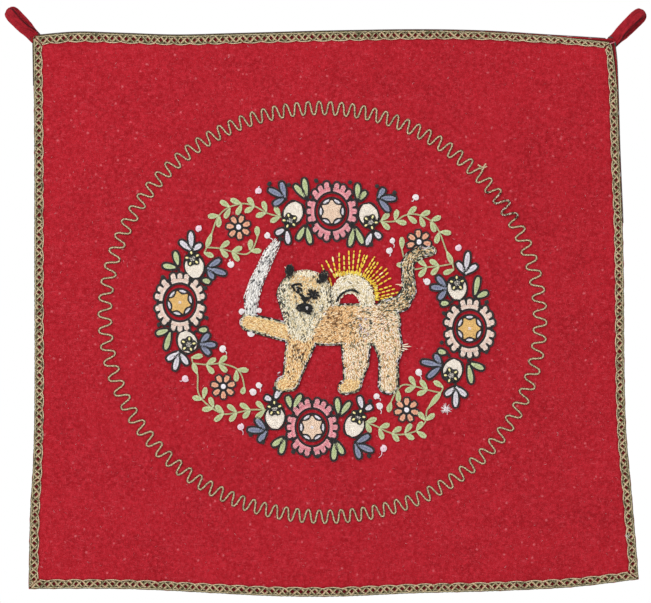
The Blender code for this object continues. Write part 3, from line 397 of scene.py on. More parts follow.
def spread(finish, value, low, high, to_low, to_high):
    """Map a value's range to another range."""
    made = add_node(finish, "MapRange", value=value, from_min=low, from_max=high,
                    to_min=to_low, to_max=to_high)
    return made.outputs["Result"]


def mix_colour(finish, factor, first, second, blend="MIX"):
    node = finish.node_tree.nodes.new("ShaderNodeMix")
    node.data_type = "RGBA"
    node.blend_type = blend
    for index, value in ((0, factor), (6, first), (7, second)):
        link_or_set(finish, node.inputs[index], value)
    return node.outputs[2]


def laid_over(finish, colour, code, value, low, high, most):
    """A second colour over the first, more of it as a value runs from low to high."""
    return mix_colour(finish, spread(finish, value, low, high, 0.0, most), colour, srgb(code))


def mathematics(finish, operation, first, second=0.0):
    node = finish.node_tree.nodes.new("ShaderNodeMath")
    node.operation = operation
    for socket, value in zip(node.inputs, (first, second)):
        link_or_set(finish, socket, value)
    return node.outputs[0]


def add_bump(finish, shader, height, distance, strength=1.0):
    made = add_node(finish, "Bump", height=height, distance=distance, strength=strength)
    finish.node_tree.links.new(made.outputs["Normal"], shader.inputs["Normal"])


def colour_of(finish, shader, colour):
    finish.node_tree.links.new(colour, shader.inputs["Base Color"])


def felted_wool():
    """Fulled red wool: soft mottling, short fibres and pale lint, with a painted shadow where the lace lies
    over it.
    """
    finish, shader = new_finish("felted_red_wool", 0.94, sheen=0.18, specular=0.12)
    shader.inputs["Sheen Tint"].default_value = (*srgb("E07078"), 1.0)
    places = object_places(finish, 1000.0)
    patches = noise(finish, places, 0.022, 3.0, 0.6)
    mottle = noise(finish, places, 0.26, 3.0, 0.65)
    grain = noise(finish, places, 1.3, 2.0, 0.6)
    combed = noise(finish, object_places(finish, 1000.0, (0.25, 1.0, 1.6), 0.5), 1.1, 2.0)
    crossed = noise(finish, object_places(finish, 1000.0, (1.6, 1.0, 0.25), 0.2), 1.1, 2.0)
    colour = laid_over(finish, srgb("980F1A"), "AE1824", patches, 0.3, 0.7, 1.0)
    colour = laid_over(finish, colour, "C02533", mottle, 0.40, 0.66, 0.95)
    colour = laid_over(finish, colour, "7E101B", grain, 0.60, 0.3, 0.6)
    fibres = mathematics(finish, "MAXIMUM", combed, crossed)
    colour = laid_over(finish, colour, "CB4450", fibres, 0.58, 0.76, 0.7)
    wisps = noise(finish, object_places(finish, 1000.0, (0.35, 1.0, 1.0), 0.9), 0.32, 4.0, 0.72)
    colour = laid_over(finish, colour, "D0505C", wisps, 0.60, 0.76, 0.6)
    for scale, tint in ((0.085, "DC7078"), (0.19, "D0515C")):
        cells = add_node(finish, "TexVoronoi", vector=places, scale=scale, randomness=1.0)
        rough = mathematics(finish, "MULTIPLY", grain, 0.3)
        ragged = mathematics(finish, "ADD", cells.outputs["Distance"], rough)
        colour = laid_over(finish, colour, tint, ragged, 0.28, 0.19, 0.6)
    # Painted shadow of the lace: the cloth under the lace's front is darkened towards deep red.
    shaded = add_node(finish, "Attribute", {"attribute_name": "shaded"}).outputs["Fac"]
    painted_lace_shadow_amount = mathematics(finish, "MULTIPLY", shaded, 0.8)
    colour_of(finish, shader, mix_colour(finish, painted_lace_shadow_amount, colour, srgb("43090F")))
    height = mathematics(finish, "ADD", fibres, mathematics(finish, "MULTIPLY", grain, 0.5))
    add_bump(finish, shader, height, 0.0006, 0.8)
    return finish


# The painted shadow in the slit between the tape's edges fades out here, along the tape
LOOP_SLIT_SHADOW_END = 50.0
LOOP_SLIT_SHADOW_FADE = 12.0
WEAVE_PITCH = 0.9


def loop_cloth():
    """Plain-woven red tape, folded lengthwise and worn along its folds, with painted shade in its creases and
    a painted shadow in the slit between its edges.
    """
    finish, shader = new_finish("loop_cloth", 0.88, sheen=0.2, specular=0.15)
    shader.inputs["Sheen Tint"].default_value = (*srgb("E07078"), 1.0)
    tape = add_node(finish, "UVMap", {"uv_map": "tape"}).outputs["UV"]
    apart = add_node(finish, "SeparateXYZ", vector=tape)
    warp, weft = (
        mathematics(finish, "SINE", mathematics(finish, "MULTIPLY", apart.outputs[axis], 6.283 / WEAVE_PITCH))
        for axis in ("Y", "X")
    )
    weave = mathematics(finish, "MULTIPLY", warp, weft)
    places = object_places(finish, 1000.0)
    mottle = noise(finish, places, 0.22, 3.0, 0.65)
    colour = laid_over(finish, srgb("94121F"), "B6202E", mottle, 0.32, 0.68, 1.0)
    colour = laid_over(finish, colour, "CC4652", weave, 0.2, 1.0, 0.22)
    away = mathematics(finish, "ABSOLUTE", apart.outputs["Y"])
    colour = laid_over(finish, colour, "CC4450", away, 4.6, 6.2, 0.4)
    # Painted shadow: a near-black strip along one edge of the tape, where the slit between its limbs lies in
    # shade.
    painted_slit_shadow = mathematics(finish, "MULTIPLY", spread(finish, apart.outputs["Y"], 4.0, 5.2, 0.0, 0.9),
                       spread(finish, apart.outputs["X"], LOOP_SLIT_SHADOW_END, LOOP_SLIT_SHADOW_END - LOOP_SLIT_SHADOW_FADE,
                              0.0, 1.0))
    colour = mix_colour(finish, painted_slit_shadow, colour, srgb("26060A"))
    # Painted crease shade: long dark streaks along the tape.
    stretched = add_node(finish, "Mapping", vector=tape, scale=(0.09, 0.6, 1.0)).outputs["Vector"]
    painted_crease_shade = noise(finish, stretched, 1.0, 2.0)
    colour = laid_over(finish, colour, "6A0A14", painted_crease_shade, 0.48, 0.34, 0.75)
    colour_of(finish, shader, colour)
    height = mathematics(finish, "ADD", weave, noise(finish, places, 1.4, 2.0))
    add_bump(finish, shader, height, 0.0004, 0.7)
    return finish


def tinted_silk(name, roughness=0.62, sheen=0.25, twist=1.1, ply=0.5, metallic=0.0, specular=0.35,
                tarnish=0.0):
    """Stranded thread that takes its colour from each stitch's own tint."""
    finish, shader = new_finish(name, roughness, metallic, sheen, specular)
    tint = add_node(finish, "Attribute", {"attribute_name": "tint"}).outputs["Color"]
    places = object_places(finish, 1000.0)
    mottle = noise(finish, places, 0.5, 2.0, 0.6)
    hairs = noise(finish, places, 2.6, 3.0, 0.6)
    depth = spread(finish, mottle, 0.3, 0.7, 0.0, 1.0)
    shade = mix_colour(finish, depth, (0.92, 0.9, 0.88), (1.12, 1.12, 1.12))
    colour = mix_colour(finish, 1.0, tint, shade, "MULTIPLY")
    glint = mix_colour(finish, 1.0, colour, (1.18, 1.18, 1.18), "MULTIPLY")
    colour = mix_colour(finish, spread(finish, hairs, 0.5, 0.72, 0.0, 0.7), colour, glint)
    if tarnish:
        dulled = noise(finish, places, 0.2, 3.0, 0.7)
        colour = laid_over(finish, colour, "4A4A2C", dulled, 0.52, 0.64, tarnish)
    along = add_node(finish, "Attribute", {"attribute_name": "along"}).outputs["Fac"]
    slant = mathematics(finish, "ADD", along, mathematics(finish, "MULTIPLY", hairs, 0.6))
    strands = mathematics(finish, "SINE", mathematics(finish, "MULTIPLY", slant, 6.283 / twist))
    colour_of(finish, shader, colour)
    height = mathematics(finish, "ADD", mathematics(finish, "MULTIPLY", strands, ply), hairs)
    add_bump(finish, shader, height, 0.0003, 0.6)
    return finish


# Stitches, threads and pads

Place = namedtuple("Place", "x z h angle tilt length width height tint")
Thread = namedtuple("Thread", "places heights radius tint flat")
Pad = namedtuple("Pad", "outline height tint")

LINK_STEP = 2.3
LINK_WIDTH = 2.0
OUTLINE_STEP = 1.9
OUTLINE_WIDTH = 2.15


class Work:
    """What is stitched for one piece, before it becomes one mesh."""

    def __init__(self, seed):
        self.chance = random.Random(seed)
        self.links = []
        self.bars = []
        self.threads = []
        self.pads = []

    def pad(self, outline, height, tint):
        self.pads.append(Pad([tuple(spot) for spot in outline], height, tint))

    def thread(self, line, heights, radius, tint, flat=0.9):
        self.threads.append(Thread([tuple(spot) for spot in line], heights, radius, tint, flat))

    def shade(self, tint, amount=0.07):
        factor = 1.0 + self.chance.uniform(-amount, amount)
        return tuple(part * factor for part in tint)


def link_shape():
    """One link of chain stitch: two strands that part and meet."""
    bm = bmesh.new()
    for side in (-1, 1):
        made = bmesh.ops.create_uvsphere(bm, u_segments=5, v_segments=3, radius=0.5)
        turn = Matrix.Rotation(math.radians(90.0), 4, "Y")
        bmesh.ops.transform(bm, verts=made["verts"], matrix=turn)
        bmesh.ops.scale(bm, verts=made["verts"], vec=(1.12, 1.0, 0.56))
        splay = Matrix.Rotation(math.radians(side * 11.0), 4, "Y")
        bmesh.ops.transform(bm, verts=made["verts"], matrix=splay)
        bmesh.ops.translate(bm, verts=made["verts"], vec=(0.0, -0.35, side * 0.25))
    return bm


def bar_shape():
    """One straight stitch of loosely twisted yarn."""
    bm = bmesh.new()
    made = bmesh.ops.create_uvsphere(bm, u_segments=6, v_segments=3, radius=0.5)
    bmesh.ops.transform(bm, verts=made["verts"], matrix=Matrix.Rotation(math.radians(90.0), 4, "Y"))
    bmesh.ops.translate(bm, verts=made["verts"], vec=(0.0, -0.3, 0.0))
    return bm


def unit(angle):
    """The direction at an angle, one long."""
    return Vector((math.cos(angle), math.sin(angle)))


def sideways(direction):
    """A direction turned a quarter turn to its left."""
    return Vector((-direction.y, direction.x))


def mesh_from(name, bm):
    mesh = bpy.data.meshes.new(name)
    bm.to_mesh(mesh)
    bm.free()
    return mesh


def new_object(name, data):
    made = bpy.data.objects.new(name, data)
    bpy.context.scene.collection.objects.link(made)
    return made


def shape_object(name, bm):
    bm.normal_update()
    mesh = mesh_from(name, bm)
    places = np.empty(len(mesh.vertices) * 3)
    mesh.vertices.foreach_get("co", places)
    layer = mesh.attributes.new("along", "FLOAT", "POINT")
    layer.data.foreach_set("value", places.reshape(-1, 3)[:, 0] * LINK_STEP)
    return new_object(name, mesh)


def named(group, name, kind):
    node = group.nodes.new("GeometryNodeInputNamedAttribute")
    node.data_type = kind
    node.inputs["Name"].default_value = name
    return node.outputs["Attribute"]


def geometry_group(name):
    group = bpy.data.node_groups.new(name, "GeometryNodeTree")
    group.interface.new_socket("Geometry", in_out="INPUT", socket_type="NodeSocketGeometry")
    group.interface.new_socket("Geometry", in_out="OUTPUT", socket_type="NodeSocketGeometry")
    start = group.nodes.new("NodeGroupInput").outputs[0]
    end = group.nodes.new("NodeGroupOutput").inputs[0]
    return group, start, end


def scatter_group(shape):
    """Put a copy of a shape at each point, turned and sized by the point."""
    group, start, end = geometry_group("scatter_" + shape.name)
    join = group.links.new
    info = group.nodes.new("GeometryNodeObjectInfo")
    info.inputs["Object"].default_value = shape
    turning = group.nodes.new("FunctionNodeEulerToRotation")
    put = group.nodes.new("GeometryNodeInstanceOnPoints")
    real = group.nodes.new("GeometryNodeRealizeInstances")
    join(named(group, "turn", "FLOAT_VECTOR"), turning.inputs["Euler"])
    join(start, put.inputs["Points"])
    join(info.outputs["Geometry"], put.inputs["Instance"])
    join(turning.outputs["Rotation"], put.inputs["Rotation"])
    join(named(group, "size", "FLOAT_VECTOR"), put.inputs["Scale"])
    join(put.outputs["Instances"], real.inputs["Geometry"])
    join(real.outputs["Geometry"], end)
    return group


def tube_group(sides):
    """Give each run of edges a round section of its own radius."""
    group, start, end = geometry_group(f"tube_{sides}")
    join = group.links.new
    runs = group.nodes.new("GeometryNodeMeshToCurve")
    ring = group.nodes.new("GeometryNodeCurvePrimitiveCircle")
    ring.inputs["Resolution"].default_value = sides
    ring.inputs["Radius"].default_value = 1.0
    sweep = group.nodes.new("GeometryNodeCurveToMesh")
    sweep.inputs["Fill Caps"].default_value = True
    join(start, runs.inputs["Mesh"])
    join(runs.outputs["Curve"], sweep.inputs["Curve"])
    join(ring.outputs["Curve"], sweep.inputs["Profile Curve"])
    join(named(group, "girth", "FLOAT"), sweep.inputs["Scale"])
    join(sweep.outputs["Mesh"], end)
    return group


def grown_mesh(name, mesh, group):
    """The mesh that a node group makes from a mesh."""
    source = new_object(name, mesh)
    step = source.modifiers.new("Grow", "NODES")
    step.node_group = group
    bpy.context.view_layer.update()
    seen = bpy.context.evaluated_depsgraph_get()
    made = bpy.data.meshes.new_from_object(source.evaluated_get(seen), depsgraph=seen)
    bpy.data.objects.remove(source, do_unlink=True)
    bpy.data.meshes.remove(mesh)
    return made


def add_layer(mesh, name, kind, values):
    layer = mesh.attributes.new(name, kind, "POINT")
    field = {"FLOAT": "value", "FLOAT_VECTOR": "vector", "FLOAT_COLOR": "color"}[kind]
    layer.data.foreach_set(field, np.asarray(values, dtype=np.float32).ravel())


def scattered(name, rows, group):
    mesh = bpy.data.meshes.new(name)
    mesh.from_pydata([(row.x, -row.h, row.z) for row in rows], [], [])
    add_layer(mesh, "turn", "FLOAT_VECTOR", [(0.0, -row.angle, row.tilt) for row in rows])
    add_layer(mesh, "size", "FLOAT_VECTOR", [(row.length, row.height, row.width) for row in rows])
    add_layer(mesh, "tint", "FLOAT_COLOR", [(*row.tint, 1.0) for row in rows])
    return grown_mesh(name, mesh, group)


def tubed(name, threads, group):
    """Round threads, each pressed towards its own height by its flatness."""
    places, joins, radii, tints, along, levels, flats = [], [], [], [], [], [], []
    for thread in threads:
        first = len(places)
        run = 0.0
        for index, (spot, height) in enumerate(zip(thread.places, thread.heights)):
            if index:
                run += math.dist(spot, thread.places[index - 1])
                joins.append((first + index - 1, first + index))
            places.append((spot[0], -height, spot[1]))
            radius = thread.radius[index] if hasattr(thread.radius, "__len__") else thread.radius
            radii.append(radius)
            tints.append((*thread.tint, 1.0))
            along.append(run)
            levels.append(height)
            flats.append(thread.flat)
    mesh = bpy.data.meshes.new(name)
    mesh.from_pydata(places, joins, [])
    add_layer(mesh, "girth", "FLOAT", radii)
    add_layer(mesh, "tint", "FLOAT_COLOR", tints)
    add_layer(mesh, "along", "FLOAT", along)
    add_layer(mesh, "level", "FLOAT", levels)
    add_layer(mesh, "flat", "FLOAT", flats)
    made = grown_mesh(name, mesh, group)
    count = len(made.vertices)
    spots = np.empty(count * 3)
    made.vertices.foreach_get("co", spots)
    spots = spots.reshape(-1, 3)
    level = np.empty(count)
    flat = np.empty(count)
    made.attributes["level"].data.foreach_get("value", level)
    made.attributes["flat"].data.foreach_get("value", flat)
    spots[:, 1] = -level + (spots[:, 1] + level) * flat
    made.vertices.foreach_set("co", spots.ravel())
    for extra in ("girth", "level", "flat"):
        made.attributes.remove(made.attributes[extra])
    return made


def padded_mesh(name, pads):
    """Low rounded pads of ground stitches under the rows."""
    bm = bmesh.new()
    tints = bm.verts.layers.float_color.new("tint")
    bm.verts.layers.float.new("along")
    for pad in pads:
        base = [bm.verts.new((spot[0], GAP, spot[1])) for spot in pad.outline]
        face = bm.faces.new(base)
        face.normal_update()
        if face.normal.y > 0.0:
            face.normal_flip()
        grown = bmesh.ops.extrude_face_region(bm, geom=[face])
        raised = [item for item in grown["geom"] if isinstance(item, bmesh.types.BMVert)]
        bmesh.ops.translate(bm, verts=raised, vec=(0.0, -(pad.height + GAP), 0.0))
        for vert in base + raised:
            vert[tints] = (*pad.tint, 1.0)
    bmesh.ops.recalc_face_normals(bm, faces=bm.faces[:])
    return mesh_from(name, bm)


SHAPES = {"link": shape_object("link", link_shape()), "bar": shape_object("bar", bar_shape())}
SCATTERS = {name: scatter_group(shape) for name, shape in SHAPES.items()}
TUBES = {sides: tube_group(sides) for sides in (3, 4, 5, 6, 8)}


def join_meshes(name, meshes):
    bm = bmesh.new()
    for mesh in meshes:
        bm.from_mesh(mesh)
        bpy.data.meshes.remove(mesh)
    return mesh_from(name, bm)


def add_piece(name, mesh, finish, nodes=()):
    mesh.materials.clear()
    mesh.materials.append(finish)
    mesh.shade_smooth()
    made = new_object(name, mesh)
    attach(made, "root")
    if nodes:
        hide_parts(*nodes)
    return made


def finish_work(work, name, finish, nodes=(), sides=6):
    meshes = []
    if work.links:
        meshes.append(scattered(name + "_links", work.links, SCATTERS["link"]))
    if work.bars:
        meshes.append(scattered(name + "_bars", work.bars, SCATTERS["bar"]))
    if work.threads:
        meshes.append(tubed(name + "_threads", work.threads, TUBES[sides]))
    if work.pads:
        meshes.append(padded_mesh(name + "_pads", work.pads))
    mesh = join_meshes(name, meshes)
    to_panel(mesh)
    return add_piece(name, mesh, finish, nodes)


def evenly(path, step, closed=False):
    """Places at even steps along a path, with the direction at each."""
    line = np.array([tuple(spot) for spot in path], dtype=float)
    if closed:
        line = np.vstack([line, line[:1]])
    steps = np.hypot(*np.diff(line, axis=0).T)
    run = np.concatenate([[0.0], np.cumsum(steps)])
    count = max(1, round(run[-1] / step))
    marks = (np.arange(count) + 0.5) * run[-1] / count
    reach = min(step * 0.35, run[-1] * 0.2)

    def found(at):
        return [np.interp(at, run, line[:, axis]) for axis in (0, 1)]

    ahead = found(np.clip(marks + reach, 0.0, run[-1]))
    behind = found(np.clip(marks - reach, 0.0, run[-1]))
    spots = np.stack(found(marks), axis=1)
    angles = np.arctan2(ahead[1] - behind[1], ahead[0] - behind[0])
    return spots, angles, run[-1] / count


def chain(work, path, tint, closed=False, width=LINK_WIDTH, step=LINK_STEP, level=0.4, height=1.5):
    """A row of chain stitch along a path."""
    spots, angles, pitch = evenly(path, step, closed)
    for spot, angle in zip(spots, angles):
        turned = angle + work.chance.uniform(-0.07, 0.07)
        size = width * work.chance.uniform(0.93, 1.07)
        work.links.append(Place(spot[0], spot[1], level, turned, 0.0, pitch * 1.28, size, height,
                                work.shade(tint)))


def outline(work, path, closed=True, level=0.2, width=OUTLINE_WIDTH, tint=BLACK):
    chain(work, path, tint, closed, width, OUTLINE_STEP, level, 1.5)


def straight(work, start, end, width, tint, level, height=1.2, tilt=0.0):
    """One straight stitch from one place to another."""
    run = Vector(end) - Vector(start)
    middle = (Vector(start) + Vector(end)) / 2.0
    angle = math.atan2(run.y, run.x)
    work.bars.append(Place(middle.x, middle.y, level, angle, tilt, run.length * 1.12, width, height,
                           work.shade(tint)))


Leaf = namedtuple("Leaf", "base tip width belly fullness")


def leaf_width(leaf, share):
    power = math.log(0.5) / math.log(leaf.belly)
    return leaf.width / 2.0 * math.sin(math.pi * min(max(share, 0.0), 1.0) ** power) ** leaf.fullness


def leaf_path(leaf, inset, count=9):
    """Closed outline of a leaf, moved inwards (or outwards) by an inset."""
    base = Vector(leaf.base)
    run = Vector(leaf.tip) - base
    length = run.length
    along = run / length
    side = sideways(along)
    near = []
    far = []
    for step in range(count + 1):
        share = step / count
        place = inset * 1.3 + (length - inset * 2.3) * (0.5 - 0.5 * math.cos(math.pi * share))
        if inset < 0.0:
            half = leaf_width(leaf, share) - inset * math.sin(math.pi * share) ** 0.5
        else:
            half = max(leaf_width(leaf, place / length) - inset, 0.0)
        near.append(base + along * place + side * half)
        far.append(base + along * place - side * half)
    return near + far[-2:0:-1]


def fill_leaf(work, leaf, edge_tint, heart_tint, level=0.4):
    """Rows of chain stitch that fill a leaf from its edge inwards."""
    half = leaf.width / 2.0
    inset = LINK_WIDTH * 0.46
    work.pad(leaf_path(leaf, inset * 0.6), 0.55, heart_tint)
    while half - inset > LINK_WIDTH * 0.42:
        chain(work, leaf_path(leaf, inset), edge_tint, True, level=level)
        inset += LINK_WIDTH * 0.92
    if half - inset > -LINK_WIDTH * 0.36:
        run = Vector(leaf.tip) - Vector(leaf.base)
        start = Vector(leaf.base) + run.normalized() * inset * 1.3
        end = Vector(leaf.tip) - run.normalized() * inset
        width = max(min(LINK_WIDTH, (half - inset) * 2.0 + LINK_WIDTH), LINK_WIDTH * 0.7)
        chain(work, (start, end), heart_tint, width=width, level=level + 0.15)


def wreath_place(spot, quarter):
    """x and z on the panel of a spot of one quarter of the wreath."""
    u = spot.u * quarter.across
    v = spot.v * quarter.up
    x = WREATH_X + u * math.cos(WREATH_TURN) + v * math.sin(WREATH_TURN)
    z = WREATH_Z - u * math.sin(WREATH_TURN) + v * math.cos(WREATH_TURN)
    moved = Vector((0.0, 0.0))
    total = 0.0
    for row in DRIFTS:
        away = (row.u - spot.u) ** 2 + (row.v - spot.v) ** 2
        share = 1.0 / (away + DRIFT_REACH ** 2) ** 2
        moved += Vector(getattr(row, quarter.name)) * share
        total += share
    return Vector((x, z)) + moved / total


def smooth_line(places, parts=6):
    """Points along a soft curve through a run of places."""
    line = []
    for index in range(len(places) - 1):
        before = places[max(index - 1, 0)]
        start = places[index]
        end = places[index + 1]
        after = places[min(index + 2, len(places) - 1)]
        for part in range(parts):
            t = part / parts
            bend = 2.0 * before - 5.0 * start + 4.0 * end - after
            twist = 3.0 * start - before - 3.0 * end + after
            line.append(0.5 * (2.0 * start + (end - before) * t + bend * t * t + twist * t ** 3))
    return line + [places[-1]]


# Wreath

MEDALLION_SIDE = Spot(-144.5, 0.0)
MEDALLION_TOP = Spot(0.0, 107.5)
BUD_SIDE = Spot(-132.8, 39.3)
BUD_TOP = Spot(-38.8, 104.5)
CALYX_SIDE = Spot(-135.5, 46.6)
CALYX_TOP = Spot(-42.6, 91.0)
BLOSSOM = Spot(-91.5, 82.2)

Sprig = namedtuple("Sprig", "owner kind base tips")


def new_sprig(owner, kind, base, *tips):
    return Sprig(owner, kind, Spot(*base), [Spot(*tip) for tip in tips])


SPRIGS = (
    new_sprig("bud_side", "white", (-137.3, 53.8), (-139.8, 73.1), (-149.7, 62.7), (-128.0, 61.2)),
    new_sprig("bud_side", "blue", (-120.1, 38.3), (-107.6, 47.9), (-100.9, 34.0), (-113.1, 28.0)),
    new_sprig("bud_side", "green", (-126.6, 26.4), (-115.8, 24.6)),
    new_sprig("bud_top", "blue", (-48.7, 115.4), (-66.4, 122.3), (-54.3, 130.6), (-60.7, 107.5)),
    new_sprig("bud_top", "white", (-44.7, 85.3), (-55.0, 78.3), (-41.5, 69.7)),
    new_sprig("medallion_side", "green", (-148.4, 35.7), (-153.7, 51.7), (-164.4, 36.7)),
    new_sprig("medallion_top", "green", (-29.2, 117.8), (-40.8, 128.9), (-31.9, 136.0)),
    new_sprig("medallion_top", "green", (-25.7, 90.7), (-32.9, 74.6), (-19.4, 71.7)),
)
SPRIG_TINTS = {
    "white": (WHITE_SILK, WHITE_HEART),
    "blue": (BLUE_EDGE, BLUE_HEART),
    "green": (LEAF_EDGE, LEAF_HEART),
}

OUTER_STEM = listed(
    Spot, (-51.5, 95.6), (-66.6, 98.5), (-79.3, 103.6), (-92.0, 105.3), (-104.7, 102.4), (-113.2, 92.0),
    (-118.6, 73.7), (-122.6, 58.7), (-124.6, 52.6),
)
INNER_STEM = listed(
    Spot, (-122.6, 58.7), (-109.2, 58.8), (-95.6, 56.4), (-83.3, 55.2), (-76.6, 62.0), (-73.0, 74.2),
)
OUTER_PAIRS = (1.0, 15.4, 29.0, 42.0, 54.0, 68.0)
INNER_PAIRS = (13.0, 25.4, 45.0)
SingleLeaf = namedtuple("SingleLeaf", "base tip")
OUTER_SINGLES = (
    SingleLeaf(Spot(-118.6, 74.0), Spot(-122.6, 58.7)),
    SingleLeaf(Spot(-125.4, 53.4), Spot(-114.6, 50.2)),
)
INNER_SINGLES = (SingleLeaf(Spot(-73.0, 73.0), Spot(-74.5, 84.4)),)
PAIR_LEAF_LENGTH = 11.8
PAIR_LEAF_SPREAD = math.radians(43.0)
LEAF_WIDTH = 5.4


def turned(direction, angle):
    x = direction.x * math.cos(angle) - direction.y * math.sin(angle)
    z = direction.x * math.sin(angle) + direction.y * math.cos(angle)
    return Vector((x, z))


def walk(places, distance):
    """A point and a direction at a distance along a run of straight lines."""
    left = distance
    for start, end in zip(places, places[1:]):
        run = end - start
        if left <= run.length or end is places[-1]:
            return start + run.normalized() * left, run.normalized()
        left -= run.length
    return places[-1], (places[-1] - places[-2]).normalized()


def add_sprigs(work, owner, quarter, toward):
    """Outlined leaves that spring from a bud or a medallion."""
    for sprig in (row for row in SPRIGS if row.owner == owner):
        edge_tint, heart_tint = SPRIG_TINTS[sprig.kind]
        base = wreath_place(sprig.base, quarter)
        root = base + (toward - base).normalized() * 3.2
        outline(work, (root, base), False, width=2.6)
        apart = 1.0 if len(sprig.tips) == 3 else 2.4
        for tip_spot in sprig.tips:
            tip = wreath_place(tip_spot, quarter)
            start = base + (tip - base).normalized() * apart
            leaf = Leaf(start, tip, 5.2, 0.62, 0.6)
            outline(work, leaf_path(leaf, -0.8), level=0.5)
            fill_leaf(work, leaf, edge_tint, heart_tint)
        if len(sprig.tips) == 3:
            middle = wreath_place(sprig.tips[1], quarter)
            chain(work, (base, base + (middle - base) * 0.4), edge_tint, level=0.7)


# Rings of a medallion: radius across, and how much taller the ring is.
OUTER_RING = 16.7
INNER_RING = 13.0
RING_SHARES = ((13.0, 1.05), (16.7, 1.13), (25.4, 1.165))
LOBE_REACH = 26.5
LOBE_NOTCH = 20.4
LOBE_WAIST = 0.68
LOBE_HALF_WIDTH = math.radians(8.0)
LOBE_ROW = math.radians(3.4)
LOBE_PITCH = math.radians(17.0)
STAR_WAIST = 8.4
# Half of the angle that a white lens between two points of the star takes up
LENS_HALF_ANGLE = 19.0


def polar(centre, radius, angle):
    """A place on a ring that is taller than it is wide."""
    taller = np.interp(radius, [row[0] for row in RING_SHARES], [row[1] for row in RING_SHARES])
    return centre + Vector((radius * math.cos(angle), radius * taller * math.sin(angle)))


def arc(centre, radius, start, end, count):
    return [polar(centre, radius, start + (end - start) * step / count) for step in range(count + 1)]


def lobe_path(centre, angle, half_width, reach, notch):
    """Open outline of one round lobe, from its left foot to its right."""
    waist = half_width * LOBE_WAIST
    path = [polar(centre, notch, angle + waist)]
    for step in range(7):
        swing = math.pi * step / 6
        out = reach - 2.6 + 2.6 * math.sin(swing)
        path.append(polar(centre, out, angle + half_width * math.cos(swing)))
    path.append(polar(centre, notch, angle - waist))
    return path


def star_radius(share, edge):
    """Distance of the star's bowed side from the middle, point to point."""
    dip = 1.0 - (2.0 * share - 1.0) ** 2
    return edge - (edge - STAR_WAIST) * dip ** 0.8


def add_medallion(work, centre, turn, star_turn, edge_tint, heart_tint, star_tint, heart_dot):
    """Two rings round a six-pointed star, and six groups of three lobes."""
    for group in range(6):
        middle = turn + math.radians(60.0) * group
        low = middle - math.radians(26.0)
        high = middle + math.radians(26.0)
        work.pad(arc(centre, 17.6, low, high, 8) + arc(centre, 22.0, high, low, 8), 0.5, heart_tint)
        chain(work, arc(centre, 18.5, low, high, 8), edge_tint, width=1.9)
        chain(work, arc(centre, 20.1, low, high, 8), heart_tint, width=1.8)
        for lobe in (-1, 0, 1):
            angle = middle + LOBE_PITCH * lobe
            reach = LOBE_REACH + work.chance.uniform(-0.5, 0.5)
            path = lobe_path(centre, angle, LOBE_HALF_WIDTH, reach, LOBE_NOTCH)
            outline(work, path, False, width=2.1)
            work.pad(path, 0.55, heart_tint)
            for row, short in ((-1, 2.3), (1, 2.3), (0, 1.5)):
                side = angle + LOBE_ROW * row
                chain(work, (polar(centre, 20.9, side), polar(centre, reach - short, side)),
                      edge_tint if row else heart_tint, width=2.2, level=0.5)
        for edge in (-27.8, 27.8):
            angle = middle + math.radians(edge)
            outline(work, (polar(centre, 17.2, angle), polar(centre, 23.4, angle)), False)
    outline(work, arc(centre, OUTER_RING, 0.0, 2.0 * math.pi, 60)[:-1])
    outline(work, arc(centre, INNER_RING, 0.0, 2.0 * math.pi, 50)[:-1])
    for point in range(6):
        first = star_turn + math.radians(60.0) * point
        middle = first + math.radians(30.0)
        bow = []
        for step in range(9):
            share = step / 8
            radius = star_radius(share, INNER_RING - 0.9)
            bow.append(polar(centre, radius, first + math.radians(5.0 + 50.0 * share)))
        outline(work, bow, False, level=0.9, width=1.6)
        wide = math.radians(LENS_HALF_ANGLE)
        narrow = math.radians(8.0)
        reach = math.radians(17.0)
        rim = arc(centre, INNER_RING - 1.0, middle + wide, middle - wide, 6)
        lens = [polar(centre, INNER_RING - 1.3, middle - wide),
                polar(centre, STAR_WAIST + 1.0, middle - narrow),
                polar(centre, STAR_WAIST + 0.8, middle),
                polar(centre, STAR_WAIST + 1.0, middle + narrow),
                polar(centre, INNER_RING - 1.3, middle + wide)]
        work.pad(lens + rim[1:-1], 0.6, WHITE_HEART)
        chain(work, (polar(centre, 11.0, middle - reach), polar(centre, 11.1, middle),
                     polar(centre, 11.0, middle + reach)), WHITE_SILK, width=2.0, level=0.5)
    star = []
    for step in range(48):
        radius = star_radius((step / 8) % 1.0, INNER_RING - 0.6)
        star.append(polar(centre, radius, star_turn + math.radians(60.0) * step / 8))
    work.pad([centre + (spot - centre) * 0.9 for spot in star], 0.9, star_tint)
    for size in (0.82, 0.63, 0.45, 0.27):
        rows = [centre + (spot - centre) * size for spot in star]
        chain(work, rows, star_tint, True, level=1.0)
    chain(work, (centre + Vector((-1.4, 0.3)), centre + Vector((1.4, -0.2))), heart_dot, level=1.3, width=2.8)


BUD_HALF_LENGTH = 10.9
BUD_WIDTH = 18.6


def add_bud(work, spot, calyx_spot, quarter):
    centre = wreath_place(spot, quarter)
    calyx = wreath_place(calyx_spot, quarter)
    away = (centre - calyx).normalized()
    bud = Leaf(centre - away * BUD_HALF_LENGTH, centre + away * BUD_HALF_LENGTH, BUD_WIDTH, 0.47, 0.55)
    outline(work, leaf_path(bud, -0.5, 14))
    fill_leaf(work, bud, BUD_CREAM, BUD_CREAM, level=1.2)
    work.pad(leaf_path(bud, 2.4, 12), 1.5, BUD_CREAM)
    add_calyx(work, calyx, away)


CALYX_REACH = 8.3
CALYX_SEEDS = 5


